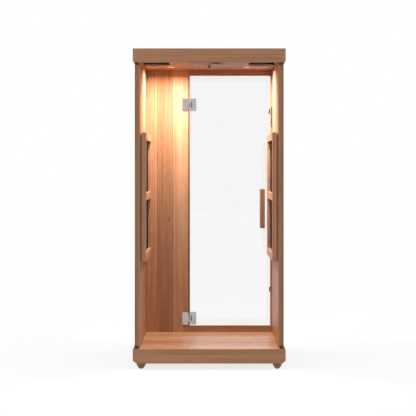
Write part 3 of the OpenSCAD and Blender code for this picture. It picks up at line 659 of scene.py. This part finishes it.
# ---- Ceiling speakers ----
# Round loudspeakers hung under the ceiling: a moulded rim with a slightly domed grille of
# punched steel pressed into it.

RIM_WIDTH = 0.010
RIM_HEIGHT = 0.018
RIM_EDGE = 0.003
GRILLE_SEAT = 0.001


def quarter(centre_r, centre_h, radius, first, last, steps=6):
    """Profile points round part of a circle, between two angles in degrees."""
    t = np.radians(np.linspace(first, last, steps + 1))
    return [(centre_r + radius * c, centre_h + radius * s) for c, s in zip(np.cos(t), np.sin(t))]


def turned_piece(name, profile, centres, turns=64, axis=Z):
    """One piece on the cabin, with a turned shape at each centre."""
    points, faces, _ = turned(profile, centres, turns, axis)
    return mesh_piece(name, points, faces, "cabin", smooth=True)


def plastic(name, dark, light, rough, shine=0.5):
    """Moulded plastic with a fine even grain, a little dust and slightly uneven gloss."""
    tree, finish = new_material(name)
    place = own_place(tree)
    grain = noise(tree, place, 900.0, 2.0)
    patch = noise(tree, place, 14.0, 3.0)
    bump = shader_node(tree, "Bump", None, Strength=0.2, Distance=0.0002, Height=grain).outputs[0]
    gloss = sums(tree, "MULTIPLY_ADD", patch, 0.2, rough - 0.1)
    return finish(Base_Color=blend_colours(tree, patch, dark, light), Roughness=gloss, Normal=bump,
                  Specular_IOR_Level=shine)


black_plastic = plastic("black_plastic", (0.010, 0.009, 0.009), (0.020, 0.018, 0.018), 0.6, 0.3)

tree, finish = new_material("punched_grille")
place = own_place(tree)
cells = shader_node(tree, "TexVoronoi", {"feature": "F1", "voronoi_dimensions": "2D"}, Vector=place,
                    Scale=420.0, Randomness=0.0).outputs["Distance"]
hole = sums(tree, "LESS_THAN", cells, 0.33)
patch = noise(tree, place, 30.0, 2.0)
sheen = blend_colours(tree, patch, (0.075, 0.070, 0.068), (0.11, 0.105, 0.10))
steel = sums(tree, "SUBTRACT", 1.0, hole)
bump = shader_node(tree, "Bump", None, Strength=0.6, Distance=0.0008, Height=steel).outputs[0]
gloss = sums(tree, "MULTIPLY_ADD", patch, 0.1, 0.45)
punched_grille = finish(Base_Color=blend_colours(tree, hole, sheen, (0.010, 0.008, 0.008)),
                        Roughness=gloss, Normal=bump, Specular_IOR_Level=0.05)

low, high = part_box("speakers")
radius = (high.y - low.y) / 2
speaker_centres = [(x, (low.y + high.y) / 2, high.z) for x in (low.x + radius, high.x - radius)]
dome_radius = radius - RIM_WIDTH
dome_drop = high.z - RIM_HEIGHT - low.z
seat = GRILLE_SEAT - RIM_HEIGHT
rim = [(0, seat), (dome_radius, seat), (dome_radius + GRILLE_SEAT, -RIM_HEIGHT),
       *quarter(radius - RIM_EDGE, RIM_EDGE - RIM_HEIGHT, RIM_EDGE, -90, 0), (radius, 0), (0, 0)]
piece = turned_piece("speaker_rims", rim, speaker_centres, 96)
dress(piece, black_plastic, "black_plastic", "speakers")

# The grille is a cap of a sphere that hangs below the rim by dome_drop.
cap = (dome_radius**2 + dome_drop**2) / (2 * dome_drop)
t = np.linspace(0, np.arcsin(dome_radius / cap), 15)
dome = np.stack([cap * np.sin(t), -RIM_HEIGHT - dome_drop + cap * (1 - np.cos(t))], -1)
dome = np.vstack([dome, [dome_radius - GRILLE_SEAT, seat], [0, seat]])
dress(turned_piece("speaker_grilles", dome, speaker_centres, 96), punched_grille, "black_plastic")


# ---- Ceiling lights ----
# Two small downlights: a white moulded ring with an opal lens set up inside it, so that its
# lip cuts the light off just under the ceiling.

RECESS = 0.0025
LIP = 0.0045
RING_EDGE = 0.002
LENS_PLAY = 0.0002

tree, finish = new_material("white_ring")
patch = noise(tree, own_place(tree), 60.0, 2.0)
colour = blend_colours(tree, patch, (0.70, 0.67, 0.63), (0.82, 0.79, 0.75))
white_ring = finish(Base_Color=colour, Roughness=sums(tree, "MULTIPLY_ADD", patch, 0.2, 0.3))

tree, finish = new_material("opal_lens")
patch = noise(tree, own_place(tree), 160.0, 2.0)
colour = blend_colours(tree, patch, (0.52, 0.60, 0.64), (0.60, 0.67, 0.70))
opal_lens = finish(Base_Color=colour, Roughness=sums(tree, "MULTIPLY_ADD", patch, 0.1, 0.25),
                   Emission_Color=(0.90, 1.0, 0.98), Emission_Strength=0.9)

low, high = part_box("spot_lights")
radius = (high.y - low.y) / 2
lamp_drop = high.z - low.z
lamp_centres = [(x, (low.y + high.y) / 2, high.z) for x in (low.x + radius, high.x - radius)]
lens_radius = radius - LIP
lens_foot = RECESS - lamp_drop
ring = [(0, lens_foot), (lens_radius, lens_foot), (lens_radius, 0.0004 - lamp_drop),
        (lens_radius + 0.0006, -lamp_drop),
        *quarter(radius - RING_EDGE, RING_EDGE - lamp_drop, RING_EDGE, -90, 0), (radius, 0), (0, 0)]
dress(turned_piece("light_rings", ring, lamp_centres), white_ring, "light_lens", "spot_lights")
lens_edge = lens_radius - LENS_PLAY
lens = [(0, lens_foot - 0.0008), (lens_radius * 0.6, lens_foot - 0.0007),
        (lens_edge, lens_foot - 0.0004), (lens_edge, lens_foot - 0.0001), (0, lens_foot - 0.0001)]
dress(turned_piece("light_lenses", lens, lamp_centres), opal_lens, "light_lens")


# ---- Temperature sensor ----
# A moulded flange screwed to the middle of the ceiling, with a short blunt probe hanging from
# it into the warm air.

FLANGE_DEEP = 0.003
FLANGE_EDGE = 0.0015
PROBE_RADIUS = 0.0065
PROBE_EDGE = 0.003
WAIST_IN = 0.0008

low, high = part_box("temperature_sensor")
radius = (high.x - low.x) / 2
centre = [(0, (low.y + high.y) / 2, high.z)]
flange = [(0, 0.0002 - FLANGE_DEEP), (PROBE_RADIUS + 0.0004, 0.0002 - FLANGE_DEEP),
          (PROBE_RADIUS + 0.0008, -FLANGE_DEEP),
          *quarter(radius - FLANGE_EDGE, FLANGE_EDGE - FLANGE_DEEP, FLANGE_EDGE, -90, 0),
          (radius, 0), (0, 0)]
beige_plastic = plastic("beige_plastic", (0.30, 0.20, 0.16), (0.38, 0.26, 0.21), 0.5, 0.3)
piece = turned_piece("sensor_flange", flange, centre, 96)
dress(piece, beige_plastic, "black_plastic", "temperature_sensor")

# The probe has a blunt tip and a narrow waist just under the flange.
drop = high.z - low.z
waist = PROBE_RADIUS - WAIST_IN
probe = [(0, -drop), *quarter(PROBE_RADIUS - PROBE_EDGE, PROBE_EDGE - drop, PROBE_EDGE, -90, 0, 8),
         (PROBE_RADIUS, -FLANGE_DEEP - 0.004), (waist, -FLANGE_DEEP - 0.0032),
         (waist, -FLANGE_DEEP - 0.0024), (PROBE_RADIUS, -FLANGE_DEEP - 0.0016),
         (PROBE_RADIUS, -FLANGE_DEEP + 0.0002), (0, -FLANGE_DEEP + 0.0002)]
brown_plastic = plastic("brown_plastic", (0.085, 0.045, 0.032), (0.12, 0.066, 0.048), 0.5, 0.3)
dress(turned_piece("sensor_probe", probe, centre, 48), brown_plastic, "black_plastic")


# ---- Ceiling vent ----
# A frame of small wooden runners round a slot through the ceiling, with a wooden shutter that
# slides between them, and a black strip of painted shade in the part left open, where it is in shadow.

VENT_THICK = 0.005
VENT_END = 0.020
VENT_RUNNER = 0.012
VENT_CUT = 0.074
SHUTTER_SINK = 0.001
SHUTTER_PLAY = 0.0003
SHADE_STRIP_THICK = 0.001
SHADE_STRIP_EDGE = 0.0002

low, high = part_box("ceiling_vent")
top = low.z + VENT_THICK
open_from = high.x - VENT_CUT
slot_x0, slot_x1 = low.x + VENT_END, high.x - VENT_END
slot_y0, slot_y1 = low.y + VENT_RUNNER, high.y - VENT_RUNNER
lows = [[slot_x0, low.y, low.z], [slot_x0, slot_y1, low.z],
        [slot_x0 + SHUTTER_PLAY, slot_y0 + SHUTTER_PLAY, low.z + SHUTTER_SINK]]
highs = [[open_from, slot_y0, top], [slot_x1, high.y, top], [open_from, slot_y1 - SHUTTER_PLAY, high.z]]
piece = boards("vent_runners", lows, highs, X, [0.0, 0.0, -0.1], edge=STRIP_EDGE, ease=STRIP_EDGE, seed=61)
dress(piece, inside[X], "wood_light", "ceiling_vent")
lows = [[low.x, low.y, low.z], [slot_x1, slot_y0, low.z]]
highs = [[slot_x0, high.y, top], [high.x, high.y, top]]
piece = boards("vent_ends", lows, highs, Y, [0.0, 0.0], edge=STRIP_EDGE, ease=STRIP_EDGE, seed=62)
dress(piece, inside[Y], "wood_light")

# The strip's black is painted shade: a dark sheet standing where the open slot is in shadow.
tree, finish = new_material("painted_shade_strip")
place = own_place(tree)
strip_texture = shader_node(tree, "TexVoronoi", {"voronoi_dimensions": "3D"}, Vector=place, Scale=900.0,
                      Randomness=0.1).outputs["Distance"]
colour = blend_colours(tree, strip_texture, (0.030, 0.022, 0.018), (0.010, 0.008, 0.007))
rough = sums(tree, "MULTIPLY_ADD", strip_texture, 0.1, 0.75)
bump = shader_node(tree, "Bump", None, Strength=0.5, Distance=0.0003, Height=strip_texture).outputs[0]
painted_shade_strip = finish(Base_Color=colour, Roughness=rough, Normal=bump, Specular_IOR_Level=0.2)
# A black strip at the near side of the open part of the slot: painted shade.
piece = boards("vent_shade_strip", [open_from, slot_y0, low.z + SHADE_STRIP_EDGE],
               [high.x, slot_y0 + SHADE_STRIP_THICK, top - SHADE_STRIP_EDGE], X, [0.0],
               edge=SHADE_STRIP_EDGE, ease=SHADE_STRIP_EDGE)
dress(piece, painted_shade_strip, "black_plastic")


# ---- Control panel ----
# A slim touch panel clipped to the wall by the front corner: a moulded case with a dark glossy
# face plate and a column of plain round keys.

CASE_CORNER = 0.004
FACE_INSET = 0.004
FACE_PROUD = 0.0008
FACE_SUNK = 0.0002
KEY_RADIUS = 0.0055
KEY_EDGE = 0.0004

low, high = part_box("control_panel")
case_grey = plastic("case_grey", (0.040, 0.038, 0.034), (0.056, 0.053, 0.047), 0.5, 0.2)
case = boards("control_case", [low.x + FACE_PROUD, low.y, low.z], high, X, [0.0], edge=CASE_CORNER,
              ease=0.0015, seed=63, arc=6, smooth=True)
dress(case, case_grey, "control_plastic", "control_panel")
face_black = plastic("face_black", (0.020, 0.018, 0.017), (0.030, 0.027, 0.026), 0.22)
face = boards("control_face", [low.x + FACE_SUNK, low.y + FACE_INSET, low.z + FACE_INSET],
              [low.x + FACE_SUNK + FACE_PROUD, high.y - FACE_INSET, high.z - FACE_INSET], X, [0.0],
              edge=0.5 * CASE_CORNER, ease=0.0003, arc=6, smooth=True)
dress(face, face_black, "control_plastic")
middle, pitch = (low.y + high.y) / 2, (high.z - low.z) / 6
key_centres = [(low.x, middle, (low.z + high.z) / 2 + n * pitch) for n in (-2, -1, 0, 1, 2)]
key = [(0, 0), (KEY_RADIUS - 0.001, 0), *quarter(KEY_RADIUS - KEY_EDGE, KEY_EDGE, KEY_EDGE, -90, 0),
       (KEY_RADIUS, 0.0006), (0, 0.0006)]
key_grey = plastic("key_grey", (0.36, 0.36, 0.35), (0.46, 0.46, 0.45), 0.4)
dress(turned_piece("control_keys", key, key_centres, 32, X), key_grey, "control_plastic")


# ---- Door glass ----
# One pane of clear toughened glass, 8 mm thick, with rounded corners and a polished arris all
# round. The hinge plates and the handles are clamped through it.

GLASS_CORNER = 0.006
ARRIS = 0.001

# Each face mirrors by its Fresnel share, and both shares are given to the face that is met
# first. The ground arris round the pane is greener and dull.
tree, finish = new_material("clear_glass")
tree.nodes.remove(tree.nodes["Principled BSDF"])
rim_mark = shader_node(tree, "Attribute", {"attribute_name": "rim"}).outputs["Fac"]
ripple = noise(tree, own_place(tree), 3.0, 1.0)
bump = shader_node(tree, "Bump", None, Strength=0.02, Distance=0.001, Height=ripple).outputs[0]
through = shader_node(tree, "BsdfTransparent", None, Color=(0.961, 0.963, 0.961, 1)).outputs[0]
mirror = shader_node(tree, "BsdfGlossy", None, Color=(1, 1, 1, 1), Roughness=0.02, Normal=bump).outputs[0]
both_faces = sums(tree, "MULTIPLY", shader_node(tree, "Fresnel", None, IOR=1.5).outputs[0], 2.0)
outer_face = sums(tree, "SUBTRACT", 1.0, shader_node(tree, "NewGeometry").outputs["Backfacing"])
shine = sums(tree, "MULTIPLY", both_faces, outer_face, clamp=True)
pane = shader_node(tree, "MixShader", None, i0=shine, i1=through, i2=mirror).outputs[0]
green = blend_colours(tree, ripple, (0.30, 0.42, 0.37), (0.42, 0.55, 0.49))
arris = shader_node(tree, "BsdfPrincipled", None, Base_Color=green, Roughness=0.25).outputs[0]
whole = shader_node(tree, "MixShader", None, i0=rim_mark, i1=pane, i2=arris).outputs[0]
tree.links.new(whole, tree.nodes["Material Output"].inputs["Surface"])

low, high = (np.array([c]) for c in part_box("door_glass"))
outline, worn = eased_outlines(low, high, Y, GLASS_CORNER, arc=8)
points, faces, number, wear = carried(outline, worn, low[:, Y], high[:, Y], Y, ease=ARRIS)
glass = mesh_piece("glass_pane", points, faces, "door")
layer = glass.data.attributes.new("rim", "FLOAT", "FACE")
layer.data.foreach_set("value", np.array([len(face) == 4 for face in faces], np.float32))
dress(glass, bpy.data.materials["clear_glass"], "glass", "door_glass")


# ---- Hinges ----
# Two satin steel glass hinges. A plate screwed to the jamb carries a forked arm and the pin;
# a pair of plates clamps the glass between gaskets and turns on the pin between the forks.

PLATE_CORNER = 0.004
PLATE_THICK = 0.004
PLATE_EASE = 0.0009
KNUCKLE_RADIUS = 0.006
KNUCKLE_HALF = 0.0175
MIDDLE_HALF = 0.007
FORK_HALF = 0.0074
FORK_ROOT = -0.0137
PIN_RADIUS = 0.0025
PIN_OUT = 0.008
PIN_PROUD = 0.0003
PLATE_REACH = 0.0005
PAD_PLAY = 0.0003
GROOVE_MIDDLE = 0.018
GROOVE_HALF = 0.003
GROOVE_LONG = 0.0185
GROOVE_DEEP = 0.0015
SCREW_RADIUS = 0.0042
SOCKET_RADIUS = 0.0017
SCREW_PITCH = 0.029
SCREW_INSET = 0.008
SCREW_PROUD = 0.0003
ARM = 0.001 * np.array([[-10, -23.8], [1, -23.8], [2.5, -22.3], [2.5, -3], [-6, 0], [-5.5, -6],
                        [-5.5, -20.2], [-10, -20.2]])
NECK = 0.001 * np.array([[-1, -5.8], [7.5, -9], [8.5, -9], [8.5, -5], [7.5, -5], [7.5, 0], [5, 1]])


def ringed(rings, centres, arc=6):
    """Closed plates that face along Y, one at each centre. Each ring is a rounded rectangle,
    given as (middle z, middle x, half height, half width, corner radius, y), and its corners
    are quarter circles. The surface passes from ring to ring."""
    rings = np.asarray(rings, float)
    t = np.pi / 2 * (np.arange(4)[:, None] + np.linspace(0, 1, arc + 1))
    circle = np.stack([np.cos(t), np.sin(t)], -1)
    signs = np.array([[1, 1], [-1, 1], [-1, -1], [1, -1]])
    corner = rings[:, 4, None, None]
    middle = rings[:, None, :2] + signs * (rings[:, None, 2:4] - corner)
    across = (middle[:, :, None] + corner[..., None] * circle).reshape(len(rings), -1, 2)
    one = np.stack([across[..., 1], rings[:, 5:] + 0 * across[..., 0], across[..., 0]], -1)
    centres = np.asarray(centres, float)
    points = one[None] + centres[:, None, None]
    return points.reshape(-1, 3), ring_faces(len(rings), one.shape[1], len(centres))


def plate_rings(x0, x1, y0, groove=()):
    """Rings of a hinge plate with all its edges eased, from its -Y face to its +Y face."""
    middle, half = 0.5 * (x0 + x1), 0.5 * (x1 - x0)
    t = np.linspace(0, np.pi / 2, 4)
    inset, onward = PLATE_EASE * (1 - np.sin(t)), PLATE_EASE * (1 - np.cos(t))
    inset, onward = np.append(2 * PLATE_EASE, inset), np.append(0, onward)
    y = np.append(y0 + onward, y0 + PLATE_THICK - onward[::-1])
    inset = np.append(inset, inset[::-1])
    rings = [(0, middle, PLATE_HALF - d, half - d, PLATE_CORNER - d, h) for d, h in zip(inset, y)]
    return list(groove) + rings


def rod(radius, low, high, ease=0.0004):
    """Profile of a plain rod with eased ends."""
    return [(0, low), (radius - ease, low), (radius, low + ease), (radius, high - ease),
            (radius - ease, high), (0, high)]


tree, finish = new_material("satin_steel")
place = own_place(tree)
squeezed = shader_node(tree, "Mapping", None, Vector=place, Scale=(30.0, 900.0, 900.0)).outputs[0]
brushed = noise(tree, squeezed, 1.0, 3.0, 0.6)
patch = noise(tree, place, 40.0, 2.0)
colour = blend_colours(tree, brushed, (0.52, 0.545, 0.60), (0.66, 0.69, 0.74))
bump = shader_node(tree, "Bump", None, Strength=0.15, Distance=0.0002, Height=brushed).outputs[0]
gloss = sums(tree, "MULTIPLY_ADD", brushed, 0.12, sums(tree, "MULTIPLY_ADD", patch, 0.08, 0.20))
satin_steel = finish(Base_Color=colour, Roughness=gloss, Normal=bump, Metallic=1.0)

glass_low, glass_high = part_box("door_glass")
wall_low, plate_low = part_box("hinge_wall_plates")[0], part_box("hinge_glass_plates")[0]
pins = np.array([[glass_low.x - PIN_OUT, (glass_low.y + glass_high.y) / 2, z] for z in hinge_heights])
pin_x, pin_y = pins[0, :2]
wall_rings = plate_rings(wall_low.x - pin_x, JAMB_EDGE + PLATE_CORNER - pin_x, wall_low.y - pin_y)
root = np.array([[x, min(y, FORK_ROOT)] for x, y in ARM[[0, 1, 2, 3, 5, 6, 7]]])
shapes = [ringed(wall_rings, pins)]
for outline, a, b in ((ARM, FORK_HALF, KNUCKLE_HALF), (ARM, -KNUCKLE_HALF, -FORK_HALF),
                      (root, -FORK_HALF, FORK_HALF)):
    outlines = np.repeat(outline[None] + pins[0, :2], len(pins), 0)
    ease = 0.0004 if outline is ARM else 0.00005
    worn = np.zeros(len(outline))
    shapes.append(carried(outlines, worn, pins[:, Z] + a, pins[:, Z] + b, Z, ease=ease)[:2])
    if outline is ARM:
        shapes.append(turned(rod(KNUCKLE_RADIUS, a, b), pins, 48)[:2])
pin_half = KNUCKLE_HALF + PIN_PROUD
shapes.append(turned(rod(PIN_RADIUS, -pin_half, pin_half), pins, 32)[:2])
piece = mesh_piece("hinge_wall_leaves", *joined(*shapes), "cabin", smooth=True)
dress(piece, satin_steel, "hinge_steel", "hinge_wall_plates")

front = plate_low.y - pin_y
groove = [(0, GROOVE_MIDDLE, GROOVE_LONG, GROOVE_HALF, 0.0006, front + GROOVE_DEEP),
          (0, GROOVE_MIDDLE, GROOVE_LONG, GROOVE_HALF, 0.0006, front + 0.0003),
          (0, GROOVE_MIDDLE, GROOVE_LONG + 0.0003, GROOVE_HALF + 0.0003, 0.0009, front)]
x0, x1 = glass_low.x - PLATE_REACH - pin_x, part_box("hinge_glass_plates")[1].x - pin_x
necks = np.repeat(NECK[None] + pins[0, :2], len(pins), 0)
neck_low, neck_high = pins[:, Z] - MIDDLE_HALF, pins[:, Z] + MIDDLE_HALF
neck = carried(necks, np.zeros(len(NECK)), neck_low, neck_high, Z, ease=0.0003)[:2]
piece = mesh_piece("hinge_glass_leaves", *joined(
    ringed(plate_rings(x0, x1, front, groove), pins),
    ringed(plate_rings(x0, x1, -front - PLATE_THICK), pins),
    neck, turned(rod(KNUCKLE_RADIUS, -MIDDLE_HALF, MIDDLE_HALF), pins, 48)[:2]), "door", smooth=True)
dress(piece, satin_steel, "hinge_steel", "hinge_glass_plates")
pad_half, pad_long = GROOVE_HALF - PAD_PLAY, GROOVE_LONG - PAD_PLAY
lows = pins + [GROOVE_MIDDLE - pad_half, front + 0.0008, -pad_long]
highs = pins + [GROOVE_MIDDLE + pad_half, front + GROOVE_DEEP + 0.0001, pad_long]
pads = boards("hinge_groove_pads", lows, highs, Z, [0.0] * len(pins), edge=0.0002, ease=0.0002, body="door")
dress(pads, black_plastic, "gasket")
finish_node("hinge_gaskets", plastic("clear_gasket", (0.42, 0.42, 0.41), (0.52, 0.52, 0.51), 0.45))
finish_node("door_catches", black_plastic)
finish_node("handle_standoffs", satin_steel)
head = [(0, 0.0011), (SOCKET_RADIUS, 0.0011), (SOCKET_RADIUS, 0.0003), (SOCKET_RADIUS + 0.0002, 0),
        (SCREW_RADIUS - 0.0003, 0), (SCREW_RADIUS, 0.0003), (SCREW_RADIUS, 0.0014), (0, 0.0014)]
centres = [(x, wall_low.y - SCREW_PROUD, z + pitch)
           for x in (wall_low.x + SCREW_INSET, JAMB_EDGE - SCREW_INSET)
           for z in hinge_heights for pitch in (-SCREW_PITCH, SCREW_PITCH)]
dress(turned_piece("hinge_screws", head, centres, 32, Y), satin_steel, "hinge_steel")


# ---- Door handles ----
# Two rounded bars of the same softwood, one inside and one outside, held back to back on
# steel standoffs that pass through the glass.

BAR_DEEP = 0.022
BAR_EDGE = 0.005

low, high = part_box("door_handles")
lows = [[low.x, low.y, low.z], [low.x, high.y - BAR_DEEP, low.z]]
highs = [[high.x, low.y + BAR_DEEP, high.z], [high.x, high.y, high.z]]
bars = boards("handle_bars", lows, highs, Z, [-0.52, -0.45], edge=BAR_EDGE, ease=0.5 * BAR_EDGE, seed=71,
              body="door", arc=6, smooth=True)
dress(bars, outside[Z], "wood", "door_handles")


# ---- Studio ----
# A plain pale floor and an even pale surround, the cabin's own two downlights, a soft light
# from the left rear, and the camera looking in level through the open rear.

LAMP_WATTS, LAMP_SPREAD = 15.7, 168
SOFT_WATTS, SOFT_SIZE, SOFT_TURN = 15.0, 2.0, -0.62
FLOOR_HALF = 30

scene = bpy.context.scene
scene.view_settings.view_transform = "Standard"
scene.view_settings.look = "None"
scene.view_settings.exposure = 0.0
scene.view_settings.gamma = 1.0

world = bpy.data.worlds.new("pale_surround")
scene.world = world
world.use_nodes = True
tree = world.node_tree
seen = shader_node(tree, "LightPath").outputs["Is Camera Ray"]
level = blend_colours(tree, seen, (0.76, 0.76, 0.76), (1.0, 1.0, 1.0))
tree.links.new(level, tree.nodes["Background"].inputs["Color"])

tree, finish = new_material("pale_floor")
lit = shader_node(tree, "LightPath").outputs["Is Diffuse Ray"]
seen = sums(tree, "SUBTRACT", 1.0, lit)
speckle = noise(tree, own_place(tree), 4.0, 2.0)
colour = blend_colours(tree, speckle, (0.24, 0.24, 0.24), (0.26, 0.26, 0.26))
pale_floor = finish(Base_Color=colour, Roughness=0.95, Specular_IOR_Level=0.1,
                    Emission_Color=(1.0, 1.0, 1.0), Emission_Strength=sums(tree, "MULTIPLY", seen, 0.785))
u, v = np.meshgrid(*[np.linspace(-FLOOR_HALF, FLOOR_HALF, 7)] * 2)
points = np.stack([u.ravel(), v.ravel(), 0 * u.ravel()], -1)
i = np.arange(6)[:, None] * 7 + np.arange(6)
mesh = bpy.data.meshes.new("studio_floor")
mesh.from_pydata(points.tolist(), [], np.stack([i, i + 1, i + 8, i + 7], -1).reshape(-1, 4).tolist())
mesh.materials.append(pale_floor)
floor = bpy.data.objects.new("studio_floor", mesh)
scene.collection.objects.link(floor)

for n, (x, y, z) in enumerate(lamp_centres):
    lamp = bpy.data.lights.new(f"downlight_{n}", "AREA")
    lamp.shape = "DISK"
    lamp.size = 2 * lens_radius - 0.001
    lamp.energy = LAMP_WATTS
    lamp.color = (1.0, 0.97, 0.98)
    lamp.spread = np.radians(LAMP_SPREAD)
    holder = bpy.data.objects.new(f"downlight_{n}", lamp)
    holder.location = (x, y, z - lamp_drop)
    holder.visible_camera = False
    holder.visible_glossy = False
    scene.collection.objects.link(holder)

soft = bpy.data.lights.new("soft_light", "AREA")
soft.shape = "SQUARE"
soft.size = SOFT_SIZE
soft.energy = SOFT_WATTS
holder = bpy.data.objects.new("soft_light", soft)
holder.location = (-2.2, -3.2, 1.6)
holder.rotation_euler = (np.pi / 2, 0.0, SOFT_TURN)
scene.collection.objects.link(holder)

camera = bpy.data.cameras.new("camera")
camera.sensor_width = 36.0
camera.lens = 118.04
camera.shift_x = -0.0029
camera.shift_y = -0.0923
camera.clip_end = 100.0
viewer = bpy.data.objects.new("camera", camera)
viewer.location = (0.0, -8.58, 1.1888)
viewer.rotation_euler = (np.pi / 2, 0.0, 0.0)
scene.collection.objects.link(viewer)
scene.camera = viewer
